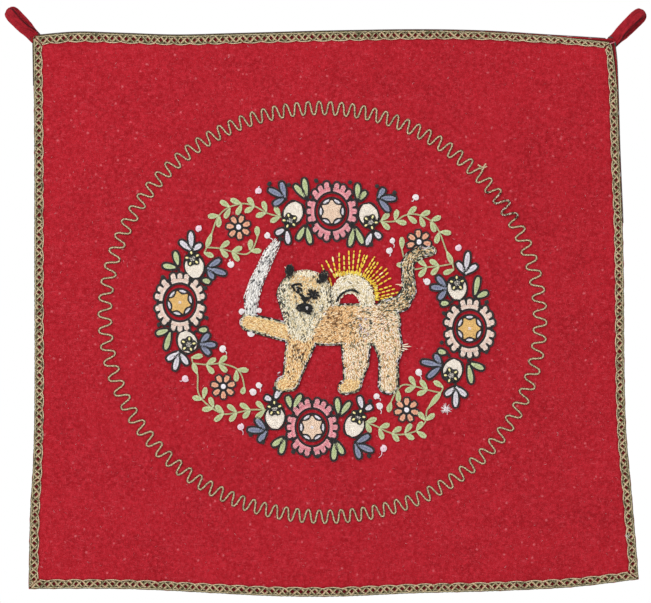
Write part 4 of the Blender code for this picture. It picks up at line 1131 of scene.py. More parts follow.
def add_calyx(work, calyx, away):
    """Black flower with pale seeds at a bud's mouth."""
    level = 2.2
    facing = math.atan2(away.y, away.x)
    rim = []
    for step in range(30):
        angle = facing + 2.0 * math.pi * step / 30
        swell = 0.5 - 0.5 * math.cos(CALYX_SEEDS * (angle - facing))
        reach = CALYX_REACH * (0.72 + 0.28 * swell)
        rim.append(calyx + unit(angle) * reach)
    work.pad(rim, level, BLACK)
    for share in (0.92, 0.55):
        chain(work, [calyx + (spot - calyx) * share for spot in rim], BLACK, True, 2.0, 2.0, level - 0.2, 1.2)
    for seed in range(CALYX_SEEDS):
        angle = facing + 2.0 * math.pi * (seed + 0.5) / CALYX_SEEDS
        direction = unit(angle)
        straight(work, calyx + direction * 4.0, calyx + direction * 7.2, 2.5, SEED_YELLOW, level + 0.7, 1.8)
        for side in (-1, 1):
            edge = sideways(direction) * side * 1.75
            straight(work, calyx + direction * 2.0 + edge, calyx + direction * 6.9 + edge, 1.2, BLACK,
                     level + 0.55, 1.5)


PETALS = 7


def add_blossom(work, centre, turn):
    for petal in range(PETALS):
        angle = turn + 2.0 * math.pi * petal / PETALS
        direction = unit(angle)
        leaf = Leaf(centre + direction * 4.1, centre + direction * 12.0, 5.0, 0.62, 0.55)
        outline(work, leaf_path(leaf, -0.5))
        fill_leaf(work, leaf, BLOSSOM_EDGE, BLOSSOM_HEART)
    ring = [centre + unit(step * math.pi / 8) * 3.7 for step in range(16)]
    outline(work, ring, level=0.5)
    work.threads.append(coil(centre, 3.3, 0.3, WHITE_SILK, 0.8))


def coil(centre, radius, start_angle, tint, thread_radius):
    """A thread wound in a flat spiral, a little domed."""
    turns = radius / (thread_radius * 1.75)
    count = max(int(turns * 11), 8)
    places = []
    heights = []
    for step in range(count + 1):
        share = step / count
        angle = start_angle + 2.0 * math.pi * turns * share
        reach = (radius - thread_radius) * share
        places.append((centre[0] + reach * math.cos(angle), centre[1] + reach * math.sin(angle)))
        heights.append(1.5 - 0.8 * share)
    return Thread(places, heights, thread_radius, tint, 0.85)


def add_vine(work, quarter):
    for spots, pairs, singles in ((OUTER_STEM, OUTER_PAIRS, OUTER_SINGLES),
                                  (INNER_STEM, INNER_PAIRS, INNER_SINGLES)):
        places = [wreath_place(spot, quarter) for spot in spots]
        chain(work, smooth_line(places), STEM_GREEN, width=1.5, step=2.2, level=0.2)
        for distance in pairs:
            base, direction = walk(places, distance)
            for side in (-1, 1):
                reach = PAIR_LEAF_LENGTH * work.chance.uniform(0.94, 1.08)
                bend = PAIR_LEAF_SPREAD + work.chance.uniform(-0.12, 0.12)
                tip = base + turned(direction, side * bend) * reach
                fill_leaf(work, Leaf(base, tip, LEAF_WIDTH, 0.64, 0.62), LEAF_EDGE, LEAF_HEART)
        for single in singles:
            base = wreath_place(single.base, quarter)
            tip = wreath_place(single.tip, quarter)
            fill_leaf(work, Leaf(base, tip, LEAF_WIDTH, 0.62, 0.62), LEAF_EDGE, LEAF_HEART)


Medallion = namedtuple("Medallion", "name spot owner quarters turn star_turn slot tints")

MEDALLIONS = (
    Medallion("medallion_top", MEDALLION_TOP, "medallion_top", (0, 1), 0.0, 90.0, "pink_silk",
              (PINK_EDGE, PINK_HEART, STAR_CREAM, STAR_CREAM)),
    Medallion("medallion_bottom", MEDALLION_TOP, "medallion_top", (2, 3), 0.0, 90.0, "pink_silk",
              (PINK_EDGE, PINK_HEART, STAR_CREAM, WHITE_SILK)),
    Medallion("medallion_left", MEDALLION_SIDE, "medallion_side", (0, 2), 30.0, 45.0, "peach_silk",
              (PEACH_EDGE, PEACH_HEART, STAR_GOLD, PEACH_EDGE)),
    Medallion("medallion_right", MEDALLION_SIDE, "medallion_side", (1, 3), 30.0, 0.0, "peach_silk",
              (PEACH_EDGE, PEACH_HEART, STAR_GOLD, PEACH_EDGE)),
)


def make_wreath(finishes):
    for number, row in enumerate(MEDALLIONS):
        work = Work(100 + number)
        quarters = [QUARTERS[index] for index in row.quarters]
        centre = wreath_place(row.spot, quarters[0])
        add_medallion(work, centre, math.radians(row.turn), math.radians(row.star_turn), *row.tints)
        for quarter in quarters:
            add_sprigs(work, row.owner, quarter, centre)
        finish_work(work, row.name + "_stitches", finishes[row.slot], (row.name,))
    for number, quarter in enumerate(QUARTERS):
        for kind, spot, calyx in (("bud_side", BUD_SIDE, CALYX_SIDE), ("bud_top", BUD_TOP, CALYX_TOP)):
            work = Work(200 + number)
            add_sprigs(work, kind, quarter, wreath_place(spot, quarter))
            add_bud(work, spot, calyx, quarter)
            name = f"{kind}_{quarter.name}"
            finish_work(work, name + "_stitches", finishes["cream_silk"], (name,))
        work = Work(300 + number)
        add_blossom(work, wreath_place(BLOSSOM, quarter), 0.35 + 0.4 * number)
        name = "blossom_" + quarter.name
        finish_work(work, name + "_stitches", finishes["orange_silk"], (name,))
        work = Work(400 + number)
        add_vine(work, quarter)
        name = "vine_" + quarter.name
        finish_work(work, name + "_stitches", finishes["green_silk"], (name,))


# Coiled dots and black knots, at places on the panel
Dot = namedtuple("Dot", "x z radius tail_x tail_z tint")

DOTS = listed(
    Dot, (-67.3, -159.0, 3.9, 1.0, 4.0, COIL_PINK), (-127.0, -196.6, 3.8, 2.0, 2.0, COIL_PINK),
    (-59.0, -203.6, 3.7, 6.5, -6.5, COIL_WHITE), (-95.4, -232.4, 4.0, 0.0, 4.6, COIL_WHITE),
    (89.8, -165.6, 3.8, -4.0, -3.0, COIL_WHITE), (132.0, -215.8, 3.9, -1.0, 1.0, COIL_PINK),
    (66.0, -208.8, 3.4, 1.5, -6.0, COIL_WHITE), (63.0, -218.6, 3.9, 0.5, -5.0, COIL_WHITE),
    (101.0, -250.0, 4.0, -3.0, 3.0, COIL_WHITE), (-103.0, -316.7, 4.1, 3.0, -5.0, COIL_WHITE),
    (-140.6, -346.4, 4.0, -5.0, -2.0, COIL_PINK), (-67.2, -353.0, 3.7, 1.0, -6.0, COIL_WHITE),
    (-73.0, -360.3, 4.2, 0.0, 0.0, COIL_WHITE), (-85.5, -394.7, 4.0, 2.0, -7.0, COIL_PINK),
    (92.8, -340.0, 4.1, 1.5, -7.5, COIL_WHITE), (50.8, -364.3, 3.6, 3.0, -4.0, COIL_WHITE),
    (53.5, -374.3, 4.1, 1.0, -6.5, COIL_WHITE), (57.3, -416.5, 4.1, -4.0, -8.0, COIL_PINK),
    (-84.0, -279.4, 3.6, 0.0, 0.0, COIL_WHITE), (-66.8, -278.7, 3.4, 0.0, 0.0, COIL_WHITE),
    (-75.1, -301.0, 4.6, 0.0, 0.0, COIL_WHITE),
)
FRAYED_DOT = (120.0, -377.0)
FRAYED_ENDS = 17

Knot = namedtuple("Knot", "x z")

KNOTS = listed(
    Knot, (-163.0, -245.1), (-120.6, -256.0), (-119.4, -285.9), (-167.2, -292.7), (-56.6, -151.8),
    (-37.2, -153.0), (-45.4, -206.9), (-9.8, -148.8), (24.0, -150.4), (51.0, -154.2), (68.4, -160.8),
    (44.8, -212.6), (160.5, -270.1), (117.9, -281.3), (115.7, -310.5), (160.5, -319.7), (44.0, -369.0),
    (-32.8, -419.9), (-7.8, -423.7), (43.0, -423.9), (-75.2, -402.5), (-62.9, -409.9), (-51.4, -356.5),
)


def make_dots(finishes):
    work = Work(500)
    for dot in DOTS:
        place = (dot.x, dot.z)
        work.threads.append(coil(place, dot.radius, work.chance.uniform(0.0, 6.28), dot.tint, 0.78))
        reach = math.hypot(dot.tail_x, dot.tail_z)
        if reach > 2.0:
            out = Vector((dot.tail_x, dot.tail_z)) / reach
            start = Vector(place) + out * (dot.radius - 1.0)
            bow = sideways(out) * 1.2
            end = Vector(place) + Vector((dot.tail_x, dot.tail_z)) * 1.15
            line = smooth_line([start, (start + end) / 2.0 + bow, end], 4)
            radii = [0.55 - 0.25 * step / (len(line) - 1) for step in range(len(line))]
            work.thread(line, [0.5] * len(line), radii, dot.tint)
    centre = Vector(FRAYED_DOT)
    for ray in range(FRAYED_ENDS):
        angle = 2.0 * math.pi * ray / FRAYED_ENDS + work.chance.uniform(-0.15, 0.15)
        reach = work.chance.uniform(3.6, 6.2)
        direction = unit(angle)
        line = [centre + direction * 0.6, centre + direction * reach * 0.6 + turned(direction, 1.57) * 0.3,
                centre + direction * reach]
        work.thread(line, [0.9, 0.7, 0.2], [0.42, 0.36, 0.2], COIL_WHITE)
    finish_work(work, "coiled_dots", finishes["cream_silk"])
    work = Work(501)
    for knot in KNOTS:
        for turn in range(3):
            angle = turn * math.pi / 3 + work.chance.uniform(-0.3, 0.3)
            reach = unit(angle) * work.chance.uniform(2.0, 2.7)
            middle = Vector((knot.x, knot.z))
            straight(work, middle - reach, middle + reach, 3.6, SPRUCE, 0.2 + 0.3 * turn, 1.8)
    finish_work(work, "black_knots", finishes["green_silk"])


# Lion

Limb = namedtuple("Limb", "name x0 z0 r0 x1 z1 r1 height")

LION_LIMBS = listed(
    Limb, ("trunk", -4.0, -292.5, 19.5, 46.0, -292.3, 19.3, 4.4),
    ("rump", 46.0, -292.3, 19.3, 56.0, -291.0, 17.5, 4.2),
    ("foreleg", -24.5, -308.0, 14.0, -34.5, -346.0, 7.7, 4.0),
    ("forefoot", -36.0, -350.0, 8.0, -43.5, -352.5, 6.5, 3.6),
    ("raised_leg", -26.0, -303.5, 8.7, -77.0, -290.2, 7.8, 3.6),
    ("near_thigh", 30.0, -305.0, 14.5, 29.7, -331.0, 11.8, 4.6),
    ("near_foot", 29.7, -331.0, 11.8, 26.5, -350.0, 8.0, 3.8),
    ("near_toe", 26.5, -352.0, 8.0, 19.0, -355.5, 6.0, 3.4),
    ("far_thigh", 58.0, -300.0, 15.0, 63.5, -316.0, 12.5, 3.9),
    ("far_shin", 63.5, -316.0, 12.5, 62.6, -331.0, 8.4, 3.7),
    ("far_foot", 62.6, -331.0, 8.4, 62.5, -352.0, 9.3, 3.5),
    ("tail_root", 59.0, -277.0, 8.0, 76.0, -271.0, 7.0, 3.2),
    ("tail_turn", 76.0, -271.0, 7.0, 83.0, -259.0, 6.0, 3.2),
    ("tail_low", 83.0, -259.0, 6.0, 82.0, -245.0, 5.0, 3.2),
    ("tail_high", 82.0, -245.0, 5.0, 81.3, -232.0, 5.3, 3.2),
    ("tail_bend", 81.3, -232.0, 5.3, 85.5, -225.0, 5.0, 3.2),
    ("tail_curl", 85.5, -225.0, 5.0, 95.0, -220.5, 5.0, 3.2),
    ("tail_tip", 95.0, -220.5, 5.0, 105.5, -218.8, 3.4, 3.0),
)
MANE = listed(
    Limb, ("mane", -20.8, -266.5, 28.0, -24.0, -294.0, 16.0, 5.6),
    ("left_ear", -36.0, -237.3, 4.8, -37.0, -244.5, 3.4, 6.6),
    ("right_ear", -1.5, -242.5, 4.6, -7.0, -249.5, 3.2, 6.6),
    ("muzzle", -21.0, -262.0, 9.5, -21.0, -273.0, 8.0, 7.6),
)
EARS = ("left_ear", "right_ear")

GOLDEN = colours(("F8DCA6", 5), ("F0C888", 4), ("FCEAC6", 3), ("A8703A", 1.3), ("4A3020", 1.1))
SMOOTH = colours(("F6DBA4", 6), ("F0CD8E", 4), ("FAE6BC", 2), ("C4955A", 0.6))
TAN = colours(("F4D29E", 5), ("E4B880", 4), ("FAE4BE", 3), ("A8763E", 1.4), ("4C3422", 0.9))
BEIGE = colours(("F8E8CC", 5), ("EDD6AE", 3), ("FBF0DE", 3), ("B8986C", 0.9), ("66664E", 0.9),
                ("EFC4AC", 0.5))
CREAM = colours(("FAF3DE", 5), ("EFE0BA", 3), ("FAF5E4", 3), ("94866A", 1.1), ("343630", 1.0),
                ("B8B59E", 0.8))
TAIL = colours(("E9D5AC", 4), ("CFAE80", 3), ("F6ECD4", 2), ("556050", 2.6), ("1B2122", 2.6))
SUN = colours(("F9F1DE", 5), ("EEE1C0", 3), ("FBF6EA", 3), ("B0A27E", 0.7), ("6E6A58", 0.2))
BLADE = colours(("F0EEEA", 6), ("DEDCDA", 3), ("FBFAF8", 3), ("8E8E92", 1.0), ("2A2C32", 0.9))
BLADE_EDGING = colours(("E6E4E0", 5), ("66666A", 1.6), ("17171A", 0.8))
EAR = colours(("141413", 6), ("232120", 2))
EDGING = colours(("1A1D1C", 5), ("BDB7C2", 2), ("E6E2DA", 1), ("9A9C86", 2), ("2E3632", 3))
SOFT_EDGING = colours(("A9A68C", 3), ("C9CDB4", 3), ("3A443E", 2), ("D6CFD4", 1.4))
BLACK_EDGING = colours(("141615", 6), ("39413C", 2))
FACE_BLACK = srgb("0F0F0F")


def pick(chance, palette):
    total = sum(weight for _, weight in palette)
    mark = chance.uniform(0.0, total)
    for tint, weight in palette:
        mark -= weight
        if mark <= 0.0:
            return tint
    return palette[0][0]


def limb_share(part, x, z):
    """Distance from a limb's middle line over its radius, at places."""
    run_x = part.x1 - part.x0
    run_z = part.z1 - part.z0
    length = run_x * run_x + run_z * run_z
    share = np.clip(((x - part.x0) * run_x + (z - part.z0) * run_z) / length, 0.0, 1.0)
    away = np.hypot(x - part.x0 - run_x * share, z - part.z0 - run_z * share)
    return away / (part.r0 + (part.r1 - part.r0) * share)


def pile_height(limbs, x, z, lowest=-math.inf):
    """Height of the pile at places, under 0 where there is none."""
    best = np.full(np.shape(x), -1.0)
    for part in limbs:
        share = limb_share(part, x, z)
        dome = part.height * (0.55 + 0.45 * np.sqrt(np.clip(1.0 - share ** 3, 0.0, 1.0)))
        best = np.maximum(best, np.where((share <= 1.0) & (z >= lowest), dome, -1.0))
    return best


def limb_box(limbs, margin=0.0):
    """Least and greatest x, then least and greatest z, of the limbs."""
    ends = [row for part in limbs for row in ((part.x0, part.z0, part.r0), (part.x1, part.z1, part.r1))]
    return (min(x - radius for x, _, radius in ends) - margin,
            max(x + radius for x, _, radius in ends) + margin,
            min(z - radius for _, z, radius in ends) - margin,
            max(z + radius for _, z, radius in ends) + margin)


def pile_ground(name, limbs, tint, pitch=1.8, sink=1.0, lowest=-math.inf):
    """Solid mat of ground stitches under the pile."""
    low_x, high_x, low_z, high_z = limb_box(limbs, pitch)
    columns = int((high_x - low_x) / pitch)
    rows = int((high_z - low_z) / pitch)
    bm = bmesh.new()
    bmesh.ops.create_grid(bm, x_segments=columns, y_segments=rows, size=0.5)
    for vert in bm.verts:
        vert.co = Vector((low_x + (vert.co.x + 0.5) * (high_x - low_x), 0.0,
                          low_z + (vert.co.y + 0.5) * (high_z - low_z)))
    spots = np.array([tuple(vert.co) for vert in bm.verts])
    heights = pile_height(limbs, spots[:, 0], spots[:, 2], lowest)
    bm.verts.ensure_lookup_table()
    outside = [vert for vert, height in zip(bm.verts, heights) if height < 0.0]
    kept = {vert: height for vert, height in zip(bm.verts, heights) if height >= 0.0}
    bmesh.ops.delete(bm, geom=outside, context="VERTS")
    for vert, height in kept.items():
        if vert.is_valid:
            vert.co.y = -max(height - sink, 0.4)
    loose = [vert for vert in bm.verts if not vert.link_faces]
    bmesh.ops.delete(bm, geom=loose, context="VERTS")
    grown = bmesh.ops.extrude_face_region(bm, geom=bm.faces[:])
    for item in grown["geom"]:
        if isinstance(item, bmesh.types.BMVert):
            item.co.y = GAP
    bmesh.ops.recalc_face_normals(bm, faces=bm.faces[:])
    tints = bm.verts.layers.float_color.new("tint")
    bm.verts.layers.float.new("along")
    for vert in bm.verts:
        vert[tints] = (*tint, 1.0)
    return mesh_from(name, bm)


def limb_direction(limbs, x, z):
    """Way in which the pile lies: along the limb that holds a place."""
    best = min(limbs, key=lambda part: float(limb_share(part, x, z)))
    return math.atan2(best.z1 - best.z0, best.x1 - best.x0), best


def lay_pile(work, limbs, palette_at, pitch, length, width, sway, lowest=-math.inf):
    """Short clipped stitches all over the limbs."""
    low_x, high_x, low_z, high_z = limb_box(limbs)
    chance = work.chance
    z = low_z
    while z < high_z:
        x = low_x
        while x < high_x:
            spot_x = x + chance.uniform(-0.5, 0.5) * pitch
            spot_z = z + chance.uniform(-0.5, 0.5) * pitch
            height = float(pile_height(limbs, spot_x, spot_z, lowest))
            if height > 0.0:
                angle, part = limb_direction(limbs, spot_x, spot_z)
                angle += chance.uniform(-sway, sway)
                tint = pick(chance, palette_at(spot_x, spot_z, part, chance))
                reach = length * chance.uniform(0.7, 1.25)
                work.bars.append(Place(spot_x, spot_z, height - 1.0 + chance.uniform(-0.25, 0.35), angle,
                                       chance.uniform(-0.3, 0.3), reach, width * chance.uniform(0.8, 1.15),
                                       1.5, work.shade(tint, 0.05)))
            x += pitch
        z += pitch


def edge_places(limbs, others, outwards, step):
    """Places and directions along the outline that the limbs make together."""
    found = []
    for part in limbs:
        run = Vector((part.x1 - part.x0, part.z1 - part.z0))
        heading = math.atan2(run.y, run.x)
        side = sideways(run).normalized()
        path = []
        for share in np.linspace(0.0, 1.0, max(int(run.length / step), 1) + 1):
            middle = Vector((part.x0, part.z0)) + run * float(share)
            radius = part.r0 + (part.r1 - part.r0) * float(share) + outwards
            path.append((middle + side * radius, heading))
            path.append((middle - side * radius, heading))
        for x, z, radius, facing in ((part.x0, part.z0, part.r0, math.pi), (part.x1, part.z1, part.r1, 0.0)):
            end = Vector((x, z))
            radius += outwards
            count = max(int(math.pi * radius / step), 2)
            for number in range(1, count):
                angle = heading + facing - math.pi / 2 + math.pi * number / count
                path.append((end + unit(angle) * radius, angle + math.pi / 2))
        for place, angle in path:
            clear = all(float(limb_share(other, place.x, place.y)) > 0.98
                        for other in list(limbs) + list(others) if other is not part)
            if clear:
                found.append((place, angle))
    return found


# Where the tan of the body gives way to beige, across the panel
HIND_START = 24.0
HIND_LEG_START = 8.0
HIND_FADE = 16.0
BELLY = -311.0
# The paw ends of the two forelegs are one plain gold
SMOOTH_LEG = -38.0
TOE_HIGH = -348.0


def lion_palette(x, z, part, chance):
    if part.name.startswith("tail"):
        return TAIL
    if part.name in ("raised_leg", "forefoot") and x < SMOOTH_LEG:
        return SMOOTH
    if part.name in ("foreleg", "forefoot", "raised_leg"):
        return GOLDEN if chance.random() < 0.7 else TAN
    if part.name in ("near_toe", "near_foot") and z < TOE_HIGH:
        return SMOOTH
    start = HIND_LEG_START if z < BELLY else HIND_START
    hind = float(smooth_share((x - start) / HIND_FADE))
    return BEIGE if chance.random() < hind else TAN


# The black of the ears ends here, and the face lies in this box
EAR_LOW = -250.5
FACE_X = -21.0
FACE_HALF_WIDTH = 15.0
FACE_LOW = -272.0
FACE_HIGH = -244.0


def mane_palette(x, z, part, chance):
    if part.name in EARS and float(limb_share(part, x, z)) < 0.95 and z > EAR_LOW:
        return EAR
    if part.name == "muzzle" or (abs(x - FACE_X) < FACE_HALF_WIDTH and FACE_LOW < z < FACE_HIGH):
        return CREAM if chance.random() < 0.45 else GOLDEN
    return CREAM


# Face and other straight stitches: ends on the panel and width
Stroke = namedtuple("Stroke", "x0 z0 x1 z1 width")

FACE_STROKES = listed(
    Stroke, (-35.0, -255.2, -30.7, -252.2, 1.9), (-31.8, -252.5, -24.2, -251.8, 2.0),
    (-26.3, -251.3, -23.5, -255.0, 1.6), (-33.5, -254.4, -30.7, -259.4, 1.9),
    (-30.0, -255.5, -25.0, -256.5, 1.9), (-25.0, -255.5, -24.4, -260.0, 1.9),
    (-30.7, -259.4, -26.3, -261.3, 2.0), (-28.1, -256.5, -27.2, -261.3, 2.6),
    (-27.2, -262.0, -22.6, -263.5, 2.0), (-23.5, -262.8, -21.3, -266.1, 1.9),
    (-18.1, -257.4, -14.2, -261.5, 2.0), (-15.1, -256.8, -13.1, -263.0, 2.2),
    (-10.3, -257.4, -12.9, -263.0, 2.0), (-6.8, -260.0, -12.5, -262.2, 2.0),
    (-6.2, -263.5, -12.5, -263.0, 2.0), (-8.3, -267.0, -12.5, -263.5, 2.0),
    (-11.8, -267.6, -13.3, -263.5, 2.1), (-16.6, -266.1, -13.5, -263.0, 2.1),
    (-19.2, -262.2, -14.0, -262.4, 2.1), (-16.8, -259.4, -9.6, -261.7, 2.6),
    (-15.9, -263.9, -9.6, -263.7, 2.6), (-25.6, -266.3, -16.0, -266.5, 3.2),
    (-23.7, -268.0, -17.9, -268.3, 2.6), (-21.6, -267.8, -21.1, -272.4, 2.6),
    (-29.2, -274.5, -21.6, -271.7, 2.6), (-20.9, -271.9, -13.5, -274.5, 2.6),
    (-30.5, -276.3, -22.0, -275.2, 2.7), (-20.5, -273.9, -12.7, -276.9, 2.7),
    (-28.5, -278.0, -20.0, -278.4, 2.8), (-22.0, -279.5, -13.1, -278.7, 2.8),
    (-20.0, -280.8, -15.1, -281.5, 2.2), (-24.4, -273.9, -16.8, -274.5, 2.6),
    (-16.8, -267.0, -14.4, -264.8, 1.6),
)
MOUTH_FILL = listed(
    Stroke, (-27.6, -275.6, -15.4, -275.2, 2.6), (-27.0, -277.2, -14.6, -277.4, 2.8),
    (-24.6, -274.6, -17.6, -273.4, 2.8), (-15.8, -260.6, -10.8, -264.6, 2.6),
    (-16.2, -262.6, -10.2, -262.6, 3.0), (-28.6, -258.4, -26.4, -260.0, 2.6),
    (-33.8, -253.4, -28.6, -251.9, 2.0), (-26.6, -262.6, -22.4, -264.6, 2.0),
)
FACE_LIGHTS = listed(
    Stroke, (-29.4, -256.3, -28.6, -257.4, 1.0), (-20.4, -275.6, -17.6, -275.4, 2.0),
    (-19.8, -277.0, -18.0, -277.0, 1.4),
)
EAR_STROKES = listed(
    Stroke, (-36.5, -232.5, -39.3, -238.3, 3.2), (-35.2, -232.7, -36.5, -241.4, 3.4),
    (-34.4, -234.9, -32.8, -240.5, 3.2), (-39.6, -237.7, -35.2, -244.6, 3.0),
    (-41.1, -239.2, -37.2, -240.1, 2.6), (-32.8, -235.9, -35.2, -244.0, 2.8),
    (-4.7, -241.6, -6.8, -245.7, 3.0), (-3.1, -241.1, -2.9, -247.0, 3.4),
    (-1.0, -242.4, 0.6, -247.0, 3.2), (1.0, -244.0, -1.6, -250.0, 2.8), (-6.4, -247.0, -0.3, -248.1, 3.2),
    (-5.3, -249.0, -1.6, -249.6, 2.8), (-9.4, -250.5, -5.5, -248.3, 2.2),
    (-7.5, -251.3, -4.7, -249.8, 2.2),
)

SUN_X = 27.2
SUN_Z = -273.8
SUN_HALF_WIDTH = 22.2
SUN_RISE = 32.4
SUN_MOUTH_X = 22.9
SUN_MOUTH_HALF_WIDTH = 10.5
SUN_MOUTH_RISE = 12.0
SUN_PARTS = 14

# Black line over the sun's mouth, and where yellow stitches crowd the rim
MOUTH_LINE = ((10.5, -269.8), (12.7, -265.4), (15.7, -262.2), (19.8, -259.4), (24.4, -258.1), (29.2, -258.9),
              (32.0, -261.3))
RIM_LINE = ((9.0, -244.6), (15.7, -242.8), (22.2, -242.0), (29.8, -242.7), (36.3, -244.6), (42.4, -249.0),
            (47.2, -254.4), (49.4, -262.0), (50.0, -268.4))

# Rays, each from the sun's rim to its tip
Ray = namedtuple("Ray", "x0 z0 x1 z1")

RAYS = listed(
    Ray, (-1.5, -239.7, -4.5, -232.4), (9.5, -246.3, -0.2, -228.2), (10.7, -245.1, 6.4, -224.5),
    (13.7, -245.1, 13.1, -220.3), (18.4, -243.9, 17.9, -221.5), (23.4, -242.6, 22.8, -217.8),
    (26.5, -243.0, 28.0, -218.6), (30.1, -242.6, 34.3, -217.8), (31.8, -243.4, 38.4, -222.8),
    (33.1, -241.5, 42.2, -221.5), (36.4, -243.9, 48.8, -224.5), (38.2, -245.6, 50.0, -228.4),
    (41.0, -246.3, 52.5, -230.0), (42.6, -248.4, 57.6, -233.2), (44.6, -251.0, 62.2, -235.4),
    (46.0, -253.2, 62.8, -240.2), (47.4, -256.0, 65.2, -245.7), (48.6, -259.5, 65.8, -253.6),
    (49.2, -262.4, 69.5, -256.6), (49.6, -265.4, 72.5, -260.3), (49.6, -268.0, 66.6, -264.4),
)

SWORD_BLADE = listed(
    Edge, (-281.4, -75.2), (-266.0, -74.4), (-250.0, -69.4), (-236.0, -62.8), (-222.0, -56.4),
    (-211.5, -49.6),
)
SWORD_HALF_WIDTHS = (5.2, 6.9, 6.2, 5.8, 5.4, 3.6)
SWORD = tuple(
    Limb("blade", start.across, start.along, near, end.across, end.along, far, 3.0)
    for start, end, near, far in zip(SWORD_BLADE, SWORD_BLADE[1:], SWORD_HALF_WIDTHS, SWORD_HALF_WIDTHS[1:])
)


def sun_limb(step):
    """One stretch of the sun's band, between its rim and its mouth."""
    ends = []
    for angle in (math.pi * step / SUN_PARTS, math.pi * (step + 1) / SUN_PARTS):
        outer = Vector((SUN_X + SUN_HALF_WIDTH * math.cos(angle), SUN_Z + SUN_RISE * math.sin(angle)))
        inner = Vector((SUN_MOUTH_X + SUN_MOUTH_HALF_WIDTH * math.cos(angle),
                        SUN_Z + SUN_MOUTH_RISE * math.sin(angle)))
        ends.extend((*((outer + inner) / 2.0), (outer - inner).length / 2.0))
    return Limb("sun", *ends, 3.0)


SUN_LIMBS = tuple(sun_limb(step) for step in range(SUN_PARTS))


def finish_pile(work, name, ground, finish, nodes):
    meshes = [ground, scattered(name + "_bars", work.bars, SCATTERS["bar"])]
    if work.threads:
        meshes.append(tubed(name + "_threads", work.threads, TUBES[4]))
    mesh = join_meshes(name, meshes)
    to_panel(mesh)
    return add_piece(name, mesh, finish, nodes)


def edging(work, places, palette, length, width, level):
    for place, angle in places:
        tint = pick(work.chance, palette)
        lean = angle + work.chance.uniform(-0.35, 0.35)
        work.bars.append(Place(place.x, place.y, level, lean, 0.0, length * work.chance.uniform(0.8, 1.2),
                               width, 1.2, work.shade(tint, 0.05)))


BOLDER = 1.45


def top_stitch(work, limbs, stroke, tint, lift):
    """A straight stitch that lies on top of the pile."""
    level = float(pile_height(limbs, (stroke.x0 + stroke.x1) / 2.0, (stroke.z0 + stroke.z1) / 2.0))
    straight(work, (stroke.x0, stroke.z0), (stroke.x1, stroke.z1), stroke.width * BOLDER, tint,
             max(level, 0.6) + lift, 1.6)


# Loose stitches round the lion: start and end, or a place
HOCK_TUFT = (
    ((75.5, -313.4), (82.4, -311.8)),
    ((76.0, -314.6), (85.4, -314.4)),
    ((75.6, -316.4), (81.8, -317.4)),
    ((74.6, -318.0), (78.6, -318.9)),
)
TAIL_TUFT = (
    ((78.0, -252.8), (69.2, -252.4)),
    ((78.4, -254.0), (73.0, -253.6)),
)
TOE_STITCHES = ((11.8, -356.2), (13.4, -359.0), (12.4, -353.4))
FOOT_LOOPS = ((-48.6, -341.4), (-46.6, -345.6), (-50.0, -352.6), (-49.6, -356.6), (-49.8, -348.6))
MANE_LEFT = -32.0
DARK_RIM = 36.0
EAR_RAY = (((3.4, -245.4), (4.6, -249.8)), ((4.4, -249.4), (5.4, -254.6)))

Flecks = namedtuple("Flecks", "x z spread_x spread_z count heading tint")

MANE_FLECKS = listed(
    Flecks, (-44.0, -262.0, 3.5, 18.0, 34, -75.0, srgb("1C1F1E")),
    (-41.0, -262.0, 5.0, 16.0, 16, -80.0, srgb("8D9A86")),
    (-40.0, -288.0, 4.0, 8.0, 14, -65.0, srgb("24282A")),
    (-8.0, -288.0, 6.0, 12.0, 16, 60.0, srgb("5F675C")),
    (3.5, -262.0, 3.0, 12.0, 20, 85.0, srgb("1F2221")),
    (-24.0, -290.0, 12.0, 10.0, 26, 90.0, srgb("A7A795")),
    (-21.0, -247.0, 14.0, 4.0, 26, 10.0, srgb("F2CF98")),
    (-3.0, -288.0, 5.0, 14.0, 26, 60.0, srgb("F7F3EA")),
)
BODY_FLECKS = listed(
    Flecks, (-27.0, -323.0, 7.0, 10.0, 24, -80.0, srgb("4A3320")),
    (12.0, -290.0, 16.0, 12.0, 30, 60.0, srgb("7A5028")),
    (34.0, -300.0, 12.0, 22.0, 26, 70.0, srgb("6C6A50")),
    (48.0, -285.0, 14.0, 8.0, 18, 20.0, srgb("3A3A34")),
    (50.0, -306.0, 14.0, 18.0, 18, 65.0, srgb("F6D4C4")),
    (36.0, -296.0, 6.0, 10.0, 16, 80.0, srgb("B8AFC0")),
    (82.0, -250.0, 3.5, 18.0, 40, 85.0, srgb("2E3830")),
    (96.0, -221.0, 10.0, 3.5, 16, 10.0, srgb("2E3830")),
    (78.0, -268.0, 7.0, 6.0, 12, 30.0, srgb("3A463C")),
)


def add_flecks(work, limbs, rows):
    chance = work.chance
    for row in rows:
        for _ in range(row.count):
            x = row.x + chance.uniform(-row.spread_x, row.spread_x)
            z = row.z + chance.uniform(-row.spread_z, row.spread_z)
            level = float(pile_height(limbs, x, z))
            if level > 0.0:
                angle = math.radians(row.heading) + chance.uniform(-0.4, 0.4)
                work.bars.append(Place(x, z, level - 0.35, angle, 0.0, chance.uniform(2.2, 3.6),
                                       chance.uniform(0.9, 1.3), 1.5, work.shade(row.tint)))


